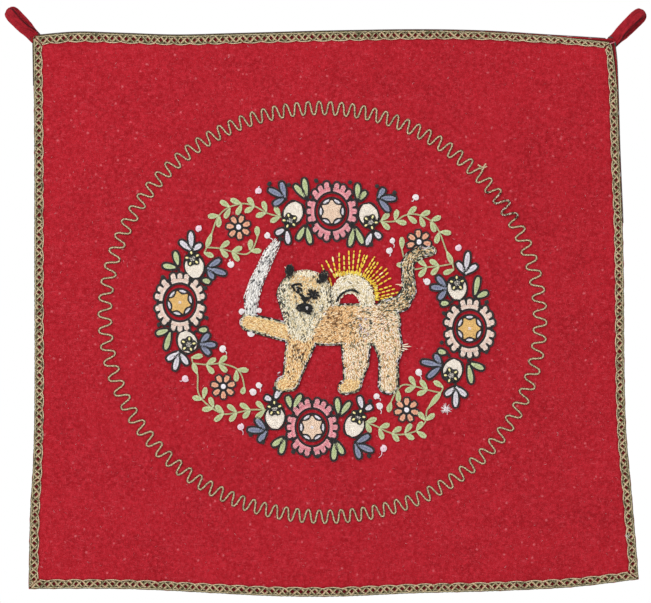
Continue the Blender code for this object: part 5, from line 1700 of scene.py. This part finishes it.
def make_lion(finishes):
    work = Work(600)
    lay_pile(work, LION_LIMBS, lion_palette, 1.5, 3.0, 1.25, 0.8)
    add_flecks(work, LION_LIMBS, BODY_FLECKS)
    edging(work, edge_places(LION_LIMBS, MANE[:1], 0.9, 1.9), EDGING, 3.6, 1.9, 0.9)
    edging(work, edge_places(LION_LIMBS, MANE[:1], -0.7, 2.1), SOFT_EDGING, 3.4, 1.6, 2.3)
    for start, tip in HOCK_TUFT:
        straight(work, start, tip, 1.5, srgb("F6E6CF"), 1.4)
    for start, tip in TAIL_TUFT:
        straight(work, start, tip, 1.3, srgb("F0CDB0"), 1.2)
    for x, z in TOE_STITCHES:
        straight(work, (x, z), (x + 2.6, z + 0.6), 2.2, srgb("E8805A"), 1.8)
    for x, z in FOOT_LOOPS:
        straight(work, (x, z), (x + 3.2, z + 1.6), 1.5, srgb("CFC6D2"), 1.2)
        straight(work, (x - 0.6, z - 1.6), (x + 2.2, z - 1.9), 1.3, srgb("55555C"), 1.0)
    ground = pile_ground("body_ground", LION_LIMBS, srgb("DDB480"))
    finish_pile(work, "lion_body_pile", ground, finishes["lion_pile"], ("lion_body",))

    work = Work(601)
    lay_pile(work, MANE, mane_palette, 1.5, 3.1, 1.15, 0.95)
    add_flecks(work, MANE, MANE_FLECKS)
    edging(work, edge_places(MANE[:1], (), 0.4, 2.4), SOFT_EDGING, 2.8, 1.2, 0.9)
    left = [row for row in edge_places(MANE[:1], (), 0.7, 2.0) if row[0].x < MANE_LEFT]
    edging(work, left, BLACK_EDGING, 3.0, 1.4, 0.8)
    for stroke in FACE_STROKES + MOUTH_FILL:
        top_stitch(work, MANE, stroke, FACE_BLACK, 0.35)
    for stroke in EAR_STROKES:
        top_stitch(work, MANE, stroke, FACE_BLACK, -0.3)
    for stroke in FACE_LIGHTS:
        top_stitch(work, MANE, stroke, srgb("BDB8B8"), 0.9)
    ground = pile_ground("mane_ground", MANE, srgb("DCCFAC"))
    finish_pile(work, "lion_mane_pile", ground, finishes["mane_pile"], ("lion_mane",))


def make_sun(finishes):
    work = Work(610)
    lay_pile(work, SUN_LIMBS, lambda x, z, part, chance: SUN, 1.6, 3.3, 1.25, 0.6, SUN_Z)
    spots, angles, _ = evenly(smooth_line([Vector(spot) for spot in MOUTH_LINE]), 1.8)
    edging(work, [(Vector(spot), angle) for spot, angle in zip(spots, angles)], BLACK_EDGING, 3.2, 3.0, 2.6)
    spots, angles, _ = evenly(smooth_line([Vector(spot) for spot in RIM_LINE]), 1.5)
    for spot, angle in zip(spots, angles):
        out = Vector((-math.sin(angle), math.cos(angle)))
        for _ in range(2):
            lean = turned(out, work.chance.uniform(-0.5, 0.5))
            start = Vector(spot) + lean * work.chance.uniform(-1.8, 0.8)
            tint = pick(work.chance, RAY_TINTS)
            end = start + lean * work.chance.uniform(2.4, 4.4)
            width = work.chance.uniform(1.2, 1.7)
            straight(work, start, end, width, tint, work.chance.uniform(1.6, 2.6))
        if spot[0] > DARK_RIM and work.chance.random() < 0.4:
            place = Vector(spot) - out * 1.2
            straight(work, place, place + turned(out, 1.3) * 2.4, 1.2, BLACK, 2.3)
    for ray in RAYS:
        start = Vector((ray.x0, ray.z0))
        run = Vector((ray.x1, ray.z1)) - start
        heading = run.normalized()
        place = 0.0
        while place < run.length - 1.6:
            reach = min(work.chance.uniform(3.8, 5.8), run.length - place)
            sway = sideways(heading) * work.chance.uniform(-0.35, 0.35)
            tint = pick(work.chance, RAY_TINTS)
            straight(work, start + heading * place + sway, start + heading * (place + reach) - sway,
                     work.chance.uniform(1.9, 2.4), tint, 0.6, 1.4)
            place += reach + work.chance.uniform(0.2, 0.9)
    for start, end in EAR_RAY:
        straight(work, start, end, 2.6, srgb("EBBC3C"), 0.9)
    ground = pile_ground("sun_ground", SUN_LIMBS, srgb("DDD0AE"), lowest=SUN_Z)
    finish_pile(work, "sun_pile", ground, finishes["sun_pile"], ("sun_arch",))


def make_sword(finishes):
    work = Work(620)
    lay_pile(work, SWORD, lambda x, z, part, chance: BLADE, 1.6, 3.8, 1.25, 0.5)
    edging(work, edge_places(SWORD, (), 0.5, 3.0), BLADE_EDGING, 3.0, 1.3, 0.4)
    ground = pile_ground("sword_ground", SWORD, srgb("D2D0CC"))
    finish_pile(work, "sword_pile", ground, finishes["blade_pile"], ("sword",))


# Couched cord

def oval_point(angle, outwards):
    radius = OVAL_RADIUS + outwards
    for swell in OVAL_SWELLS:
        radius += swell.cosine * math.cos(swell.order * angle)
        radius += swell.sine * math.sin(swell.order * angle)
    return Vector((OVAL_X + radius * math.cos(angle), OVAL_Z + radius * math.sin(angle)))


def meander_angle(phase):
    angle = phase / MEANDER_COUNT
    for _ in range(8):
        drift = MEANDER_CROWDING / 2.0 * math.sin(2.0 * angle)
        angle = phase / MEANDER_COUNT + drift
    return angle


def meander_place(phase, reach, slip=0.0):
    """A place on the meander: round turns joined by nearly straight runs."""
    swing = reach * math.sin(phase) * (1.0 + 0.06 * math.cos(2.0 * phase))
    lean = 0.16 * math.sin(2.0 * phase) + slip
    return oval_point(meander_angle(phase - lean), swing)


def meander_line(first, last, reach, slip, step=0.95):
    """Even places along the meander between two phases, in turns."""
    count = int((last - first) * 26)
    raw = [meander_place(2.0 * math.pi * (first + (last - first) * part / count), reach, slip)
           for part in range(count + 1)]
    spots, angles, _ = evenly(raw, step)
    return spots, angles


CORD_TWIST = 5.2
PLY_OFFSET = 0.42
PLY_RADIUS = 0.52


def lay_cord(work, spots, angles, tints, lift=0.0):
    """Two metal-wrapped plies twisted round each other along a line."""
    run = np.concatenate([[0.0], np.cumsum(np.hypot(*np.diff(spots, axis=0).T))])
    for ply, tint in enumerate(tints):
        swing = 2.0 * math.pi * run / CORD_TWIST + math.pi * ply
        places = [(spot[0] - math.sin(angle) * PLY_OFFSET * math.cos(turn),
                   spot[1] + math.cos(angle) * PLY_OFFSET * math.cos(turn))
                  for spot, angle, turn in zip(spots, angles, swing)]
        heights = 0.66 + lift + PLY_OFFSET * 0.8 * np.sin(swing)
        work.thread(places, list(heights), PLY_RADIUS, tint, 1.0)


# Where the cord's two ends overlap, and a mended stretch below them
CORD_ENDS = (
    ((151.4, -132.6), (154.6, -134.6), (157.6, -135.6), (161.4, -134.3)),
    ((159.8, -131.4), (158.2, -134.0), (157.2, -136.4), (155.8, -139.0)),
)
MENDED_X = 160.0
MENDED_LOW = -187.0
MENDED_HIGH = -160.0


def make_cord(finishes):
    work = Work(700)
    spots, angles = meander_line(0.0, MEANDER_COUNT, MEANDER_REACH, 0.0)
    lay_cord(work, spots, angles, (METAL_LIGHT, CORD_BEIGE))
    # Painted shadow: a flat dark tube under the cord darkens the cloth along both its sides.
    work.thread(spots, [0.2] * len(spots), 1.2, DARK_METAL_AND_SHADOW, 0.3)
    finish_work(work, "couched_cord", finishes["metal_cord"], ("meander_cord",), sides=5)
    work = Work(701)
    for end in CORD_ENDS:
        line, turns, _ = evenly(smooth_line([Vector(spot) for spot in end]), 0.95)
        lay_cord(work, line, turns, (METAL_LIGHT, CORD_BEIGE), 1.0)
    for spot, angle in zip(spots, angles):
        if spot[0] > MENDED_X and MENDED_LOW < spot[1] < MENDED_HIGH:
            along = turned(unit(angle), work.chance.uniform(-0.5, 0.5))
            middle = Vector(spot) + turned(along, 1.57) * work.chance.uniform(-0.7, 0.7)
            tint = work.chance.choice((BLACK, BUD_CREAM, METAL_PINK))
            straight(work, middle - along, middle + along, 0.9, tint, 1.5)
    finish_work(work, "cord_lap", finishes["metal_cord"], sides=5)
    work = Work(702)
    spots, angles = meander_line(0.0, MEANDER_COUNT, MEANDER_REACH, 0.0, 4.1)
    for spot, angle in zip(spots, angles):
        across = Vector((-math.sin(angle), math.cos(angle))) * 1.15
        middle = Vector(spot)
        straight(work, middle - across, middle + across, 0.42, srgb("C9B083"), 0.95, 0.9)
    finish_work(work, "couching_stitches", finishes["metal_cord"])


# Lace braid

LACE_PERIOD = 14.0
LACE_STEP = 1.55


def lace_at(rows, share):
    index = 0
    while index < len(rows) - 2 and share > rows[index + 1].share:
        index += 1
    start = rows[index]
    end = rows[index + 1]
    part = min(max((share - start.share) / (end.share - start.share), 0.0), 1.0)
    return start.margin + (end.margin - start.margin) * part, start.width + (end.width - start.width) * part


def lace_place(rows, along, across, depth, flip, upright):
    margin, width = lace_at(rows, along)
    inwards = (margin + width * across) / depth
    if flip:
        inwards = 1.0 - inwards
    return panel_point(inwards, along) if upright else panel_point(along, inwards)


def zigzag(turn):
    """Triangle wave with rounded corners, from -1 to 1."""
    return math.asin(0.94 * math.sin(turn)) / math.asin(0.94)


def make_lace(name, rows, length, depth, flip, upright, ends, seed, finishes):
    """Openwork metal braid: edge cords and crossing groups of threads."""
    start_side, end_side, start_share, end_share = ends
    work = Work(seed)
    chance = work.chance
    count = int(length / LACE_STEP)
    drift = [chance.uniform(-1.5, 1.5) for _ in range(int(length / LACE_PERIOD) + 3)]

    def strand(across_at, level_at, radius, tint, flat=0.75):
        places = []
        heights = []
        for step in range(count + 1):
            run = LACE_STEP * step
            across = across_at(run)
            margin, width = lace_at(start_side, start_share)
            first = margin + width * across + GAP * 0.5
            margin, width = lace_at(end_side, end_share)
            last = length - margin - width * across - GAP * 0.5
            if first <= run <= last:
                spot = lace_place(rows, run / length, across, depth, flip, upright)
                places.append((spot.x, spot.y))
                heights.append(level_at(run))
        work.thread(places, heights, radius, tint, flat)

    def wander(run):
        cell = run / LACE_PERIOD
        index = int(cell)
        part = cell - index
        return drift[index] * (1.0 - part) + drift[index + 1] * part

    def crossing(phase, shift, reach):
        def across(run):
            turn = 2.0 * math.pi * (run + shift + wander(run)) / LACE_PERIOD + phase
            return 0.45 + reach * zigzag(turn)

        return across

    for phase, tints in ((0.0, (METAL_LIGHT, METAL_GOLD, METAL_OLIVE)),
                         (math.pi, (METAL_GOLD, METAL_LIGHT, METAL_PINK))):
        for index, tint in enumerate(tints):
            shift = (index - 1) * 0.95
            level = lambda run, phase=phase: 0.55 + 0.3 * math.sin(4.0 * math.pi * run / LACE_PERIOD + phase)
            strand(crossing(phase, shift, 0.37), level, 0.5, work.shade(tint, 0.05))
    for offset, tint in ((-0.05, METAL_OLIVE), (0.03, METAL_LIGHT), (0.12, DARK_METAL_AND_SHADOW)):
        strand(lambda run, offset=offset: offset + 0.025 * math.sin(run * 1.3), lambda run: 0.45, 0.55,
               work.shade(tint, 0.05))

    def scallop(run):
        turn = math.pi * (run + wander(run)) / (LACE_PERIOD * 1.27)
        return 0.75 + 0.18 * abs(math.sin(turn)) ** 0.7

    strand(scallop, lambda run: 0.5, 0.56, METAL_LIGHT)
    strand(lambda run: scallop(run) - 0.10, lambda run: 0.35, 0.5, DARK_METAL_AND_SHADOW)
    return finish_work(work, "lace_" + name[6:], finishes["metal_lace"], (name,), sides=4)


def make_laces(finishes):
    ends = (LACE_LEFT, LACE_RIGHT)
    sides = (LACE_TOP, LACE_BOTTOM)
    return [
        make_lace(name, rows, *((PANEL_HEIGHT, PANEL_WIDTH) if upright else (PANEL_WIDTH, PANEL_HEIGHT)),
                  flip, upright, (*(sides if upright else ends), share, share), 710 + number, finishes)
        for number, (name, rows, flip, upright, share) in enumerate((
            ("braid_top", LACE_TOP, False, False, 0.0),
            ("braid_bottom", LACE_BOTTOM, True, False, 1.0),
            ("braid_left", LACE_LEFT, False, True, 0.0),
            ("braid_right", LACE_RIGHT, True, True, 1.0),
        ))
    ]


# Panel cloth and loops

CLOTH_STEP = 4.6
HEM_LINES = ((0.0, 0.30), (0.5, 0.72), (1.6, 1.0))
# Grid lines, counted from the edge, that lie under the lace and get a painted shadow on the cloth's front
UNDER_LACE = (2, 3)


def hem_lines(length):
    """Distances from one edge of the grid lines, and the thickness at each."""
    inner = length - 2.0 * HEM_LINES[-1][0]
    count = round(inner / CLOTH_STEP)
    middle = [(HEM_LINES[-1][0] + inner * step / count, 1.0) for step in range(1, count)]
    end = [(length - line, thick) for line, thick in reversed(HEM_LINES)]
    return [(line / length, thick) for line, thick in list(HEM_LINES) + middle + end]


def edge_wobble(share):
    """Small unevenness of the cut edge."""
    return 0.22 * math.sin(share * 171.0) + 0.16 * math.sin(share * 437.0 + 1.3)


def doubled_grid(columns, rows):
    """Two layers of a grid one long and one wide, joined at their edges."""
    bm = bmesh.new()
    bmesh.ops.create_grid(bm, x_segments=columns, y_segments=rows, size=0.5)
    bmesh.ops.translate(bm, verts=bm.verts[:], vec=(0.5, 0.5, 0.0))
    grown = bmesh.ops.extrude_face_region(bm, geom=bm.faces[:])
    raised = [item for item in grown["geom"] if isinstance(item, bmesh.types.BMVert)]
    bmesh.ops.translate(bm, verts=raised, vec=(0.0, 0.0, 1.0))
    return bm


def in_metres(name, bm):
    bmesh.ops.recalc_face_normals(bm, faces=bm.faces[:])
    bmesh.ops.scale(bm, verts=bm.verts[:], vec=(MM, MM, MM))
    return mesh_from(name, bm)


def make_cloth(finish):
    across_lines = hem_lines(PANEL_WIDTH)
    down_lines = hem_lines(PANEL_HEIGHT)
    columns = len(across_lines) - 1
    rows = len(down_lines) - 1
    bm = doubled_grid(columns, rows)
    shaded = bm.verts.layers.float.new("shaded")
    for vert in bm.verts:
        column = round(vert.co.x * columns)
        row = round(vert.co.y * rows)
        across, thick_across = across_lines[column]
        down, thick_down = down_lines[row]
        place = panel_point(across, down)
        if column in (0, columns):
            place.x += edge_wobble(down)
        if row in (0, rows):
            place.y += edge_wobble(across + 0.5)
        thick = min(thick_across, thick_down)
        if column in (0, columns) and row in (0, rows):
            place += (Vector((WREATH_X, WREATH_Z)) - place).normalized() * 1.6
        vert.co = Vector((place.x, CLOTH_THICK * (vert.co.z - 0.5) * thick, place.y))
        inside = min(column, columns - column, row, rows - row)
        # Painted shadow of the lace: marks the front of the grid lines under it, darkened by the wool's
        # finish.
        vert[shaded] = 1.0 if inside in UNDER_LACE and vert.co.y < 0.0 else 0.0
    spots = np.array([tuple(vert.co) for vert in bm.verts])
    heights = relief(spots[:, 0], spots[:, 2])
    for vert, height in zip(bm.verts, heights):
        vert.co.y -= height
    made = add_piece("panel_cloth", in_metres("panel_cloth", bm), finish, ("cloth",))
    return made


LOOSE_FIBRES = 1100
TUFT_FIBRES = 16
WHITE_TUFT = (302.0, -504.0)


def make_lint(finish):
    """Loose fibres and specks of lint on the wool."""
    work = Work(800)
    chance = work.chance
    for _ in range(LOOSE_FIBRES):
        place = panel_point(chance.uniform(0.02, 0.98), chance.uniform(0.02, 0.98))
        angle = chance.uniform(0.0, 2.0 * math.pi)
        bend = chance.uniform(-0.9, 0.9)
        reach = chance.uniform(0.8, 3.4)
        line = [place]
        for _ in range(3):
            line.append(line[-1] + unit(angle) * reach / 3.0)
            angle += bend
        tint = LINT_PINK if chance.random() < 0.8 else srgb("DC8A92")
        work.thread(line, [-0.15, 0.0, 0.04, -0.12], [0.1, 0.24, 0.22, 0.09], work.shade(tint, 0.12), 0.8)
    tuft = Vector(WHITE_TUFT)
    for _ in range(TUFT_FIBRES):
        angle = chance.uniform(0.0, 2.0 * math.pi)
        reach = chance.uniform(1.6, 4.4)
        middle = tuft + unit(angle + 0.4) * reach * 0.6
        end = tuft + unit(angle) * reach
        work.thread((tuft, middle, end), [0.3, 0.9, 0.3], [0.22, 0.24, 0.12], srgb("F1EFEC"))
    return finish_work(work, "lint", finish, sides=3)


EDGE_SHIFT = {"top": Vector((0.0, 0.35)), "right": Vector((0.35, 0.0)), "left": Vector((-0.2, 0.0))}
# Loose ends at the upper corners
CornerStitch = namedtuple("CornerStitch", "x0 z0 x1 z1 width tint")
CORNER_STITCHES = listed(
    CornerStitch, (288.6, -10.6, 288.9, -14.2, 2.2, srgb("27473C")),
    (282.2, -12.6, 289.2, -10.0, 0.8, srgb("E58C98")), (281.6, -5.5, 286.4, -5.8, 2.0, srgb("3C3A3A")),
    (-287.8, -1.8, -286.2, -3.2, 1.8, srgb("2E2A2A")), (-296.0, -6.2, -295.0, -7.8, 1.6, srgb("2E2A2A")),
)


def make_edge_thread(finish):
    """Dark thread that shows along the upper edge and down both sides."""
    work = Work(810)
    runs = (
        [panel_point(share, 0.0) for share in np.linspace(0.012, 0.985, 240)],
        [panel_point(1.0, share) for share in np.linspace(0.01, 0.34, 90)],
        [panel_point(0.0, share) for share in np.linspace(0.012, 0.09, 30)],
    )
    for side, run in zip(("top", "right", "left"), runs):
        places = [spot + EDGE_SHIFT[side] for spot in run]
        work.thread(places, [-0.75] * len(places), 0.5, srgb("5A4846"), 1.0)
    for row in CORNER_STITCHES:
        straight(work, (row.x0, row.z0), (row.x1, row.z1), row.width, row.tint, 1.2)
    return finish_work(work, "edge_thread", finish, sides=5)


def loop_centre(loop, angle):
    """Middle of the tape's thickness, and the way its width lies."""
    along = Vector((loop.lean_x, 0.0, loop.lean_z)).normalized()
    inner = Vector((loop.lean_z, 0.0, -loop.lean_x)).normalized()
    reach = loop.length * (1.0 - math.cos(angle)) / 2.0
    opened = float(smooth_share((reach - LOOP_OPEN_START) / (LOOP_OPEN_END - LOOP_OPEN_START)))
    turned_by = LOOP_TURN * opened
    back = Vector((0.0, 1.0, 0.0))
    wide = inner * math.cos(turned_by) - back * math.sin(turned_by)
    apart = inner * math.sin(turned_by) + back * math.cos(turned_by)
    shut = LOOP_TAPE_THICK / 2.0 + GAP
    eye = LOOP_HALF_EYE * abs(math.sin(angle)) * math.sin(angle / 2.0)
    offset = shut * (1.0 - opened) + eye * opened
    if math.sin(angle) < 0.0:
        offset = -offset
    lift = CLOTH_THICK / 2.0 + GAP * 2.0 + LOOP_TAPE_THICK + LOOP_LIFT
    root = Vector((loop.x, lift - float(relief(loop.x, loop.z)), loop.z))
    return root + along * reach - apart * offset, wide


TAPE_SECTION = ((-0.5, 0.25), (-0.47, 0.7), (-0.36, 1.0), (-0.12, 0.92), (0.0, 0.8),
                (0.12, 0.92), (0.36, 1.0), (0.47, 0.7), (0.5, 0.25))


def make_loop(loop, finish):
    """Folded tape, rounded at its edges, with slight creases across it."""
    steps = 84
    parts = len(TAPE_SECTION) - 1
    bm = doubled_grid(steps, parts)
    first = LOOP_ROOT_ANGLE
    last = 2.0 * math.pi - LOOP_ROOT_ANGLE
    step = (last - first) / steps
    layout = {}
    for vert in bm.verts:
        share = vert.co.x
        across, thick = TAPE_SECTION[round(vert.co.y * parts)]
        angle = first + (last - first) * share
        centre, wide = loop_centre(loop, angle)
        ahead, _ = loop_centre(loop, min(angle + step, last))
        behind, _ = loop_centre(loop, max(angle - step, first))
        normal = (ahead - behind).normalized().cross(wide).normalized()
        crease = 0.16 * math.sin(share * 61.0 + across * 5.0) + 0.1 * math.sin(share * 133.0 - across * 9.0)
        end = math.exp(-((angle - math.pi) / LOOP_END_SPAN) ** 2)
        width = LOOP_TAPE_WIDTH * (1.0 + 0.03 * math.sin(share * 23.0)) * (1.0 - LOOP_END_NARROWING * end)
        layout[vert] = (share * loop.length * 2.2, across * LOOP_TAPE_WIDTH)
        raised = (vert.co.z - 0.5) * LOOP_TAPE_THICK * thick + crease
        vert.co = centre + wide * across * width + normal * raised
    tape = bm.loops.layers.uv.new("tape")
    for face in bm.faces:
        for corner in face.loops:
            corner[tape].uv = layout[corner.vert]
    name = loop.name + "_tape"
    return add_piece(name, in_metres(name, bm), finish, (loop.name,))


# The camera, and how much of the panel's plane it sees across, in metres
SENSOR = 36.0
CAMERA_DISTANCE = 4.0
VIEW_WIDTH = 0.651


def set_stage():
    """Pale floor, white surroundings, soft lights and the front camera."""
    bm = bmesh.new()
    bmesh.ops.create_grid(bm, x_segments=8, y_segments=8, size=1.5)
    bmesh.ops.translate(bm, verts=bm.verts[:], vec=(0.0, 0.0, -0.75))
    mesh = mesh_from("studio_floor", bm)
    finish, shader = new_finish("studio_floor", 0.9)
    grain = noise(finish, object_places(finish, 1.0), 30.0, 3.0)
    colour_of(finish, shader, mix_colour(finish, grain, srgb("E9E8E6"), srgb("F1F0EE")))
    mesh.materials.append(finish)
    floor = new_object("studio_floor", mesh)

    world = bpy.data.worlds.new("studio")
    bpy.context.scene.world = world
    world.use_nodes = True
    tree = world.node_tree
    sky = tree.nodes["Background"]
    sky.inputs["Color"].default_value = (1.0, 1.0, 1.0, 1.0)
    sky.inputs["Strength"].default_value = 0.62
    seen = tree.nodes.new("ShaderNodeBackground")
    seen.inputs["Color"].default_value = (1.0, 1.0, 1.0, 1.0)
    seen.inputs["Strength"].default_value = 1.0
    path = tree.nodes.new("ShaderNodeLightPath")
    mix = tree.nodes.new("ShaderNodeMixShader")
    tree.links.new(path.outputs["Is Camera Ray"], mix.inputs[0])
    tree.links.new(sky.outputs[0], mix.inputs[1])
    tree.links.new(seen.outputs[0], mix.inputs[2])
    tree.links.new(mix.outputs[0], tree.nodes["World Output"].inputs["Surface"])

    for name, place, size, power in (
        ("key", (-1.5, -2.0, 1.3), 1.1, 44.0),
        ("fill", (1.9, -2.4, 0.2), 1.6, 12.0),
        ("back", (0.6, 2.2, 1.2), 1.6, 26.0),
    ):
        lamp = bpy.data.lights.new(name, "AREA")
        lamp.size = size
        lamp.energy = power
        thing = new_object(name, lamp)
        thing.location = place
        aim = Vector((0.0, 0.0, -0.28)) - Vector(place)
        thing.rotation_euler = aim.to_track_quat("-Z", "Y").to_euler()

    lens = bpy.data.cameras.new("front")
    lens.sensor_width = SENSOR
    lens.lens = SENSOR * CAMERA_DISTANCE / VIEW_WIDTH
    camera = new_object("front", lens)
    camera.location = (-0.0005, -CAMERA_DISTANCE, -0.2695)
    camera.rotation_euler = (math.pi / 2, 0.0, 0.0)
    bpy.context.scene.camera = camera
    bpy.context.scene.view_settings.view_transform = "Standard"


def main():
    finishes = {
        "metal_lace": tinted_silk("metal_lace", 0.42, 0.0, 0.7, 0.8, 0.45, 0.5, 0.7),
        "metal_cord": tinted_silk("metal_cord", 0.42, 0.0, 0.6, 0.8, 0.4, 0.5, 0.35),
    }
    for name in ("pink_silk", "peach_silk", "cream_silk", "green_silk", "orange_silk"):
        finishes[name] = tinted_silk(name)
    for name in ("lion_pile", "mane_pile", "sun_pile", "blade_pile"):
        finishes[name] = tinted_silk(name, 0.8, 0.35, 0.8, 0.3, 0.0, 0.2)
    wool = felted_wool()
    tape = loop_cloth()
    loose = tinted_silk("loose_fibre", 0.9, 0.2)
    loops = [make_loop(loop, tape) for loop in LOOPS]
    laces = make_laces(finishes)
    make_cloth(wool)
    make_lint(loose)
    make_edge_thread(loose)
    make_cord(finishes)
    make_wreath(finishes)
    make_dots(finishes)
    make_lion(finishes)
    make_sun(finishes)
    make_sword(finishes)
    for shape in SHAPES.values():
        bpy.data.objects.remove(shape, do_unlink=True)
    set_stage()


main()
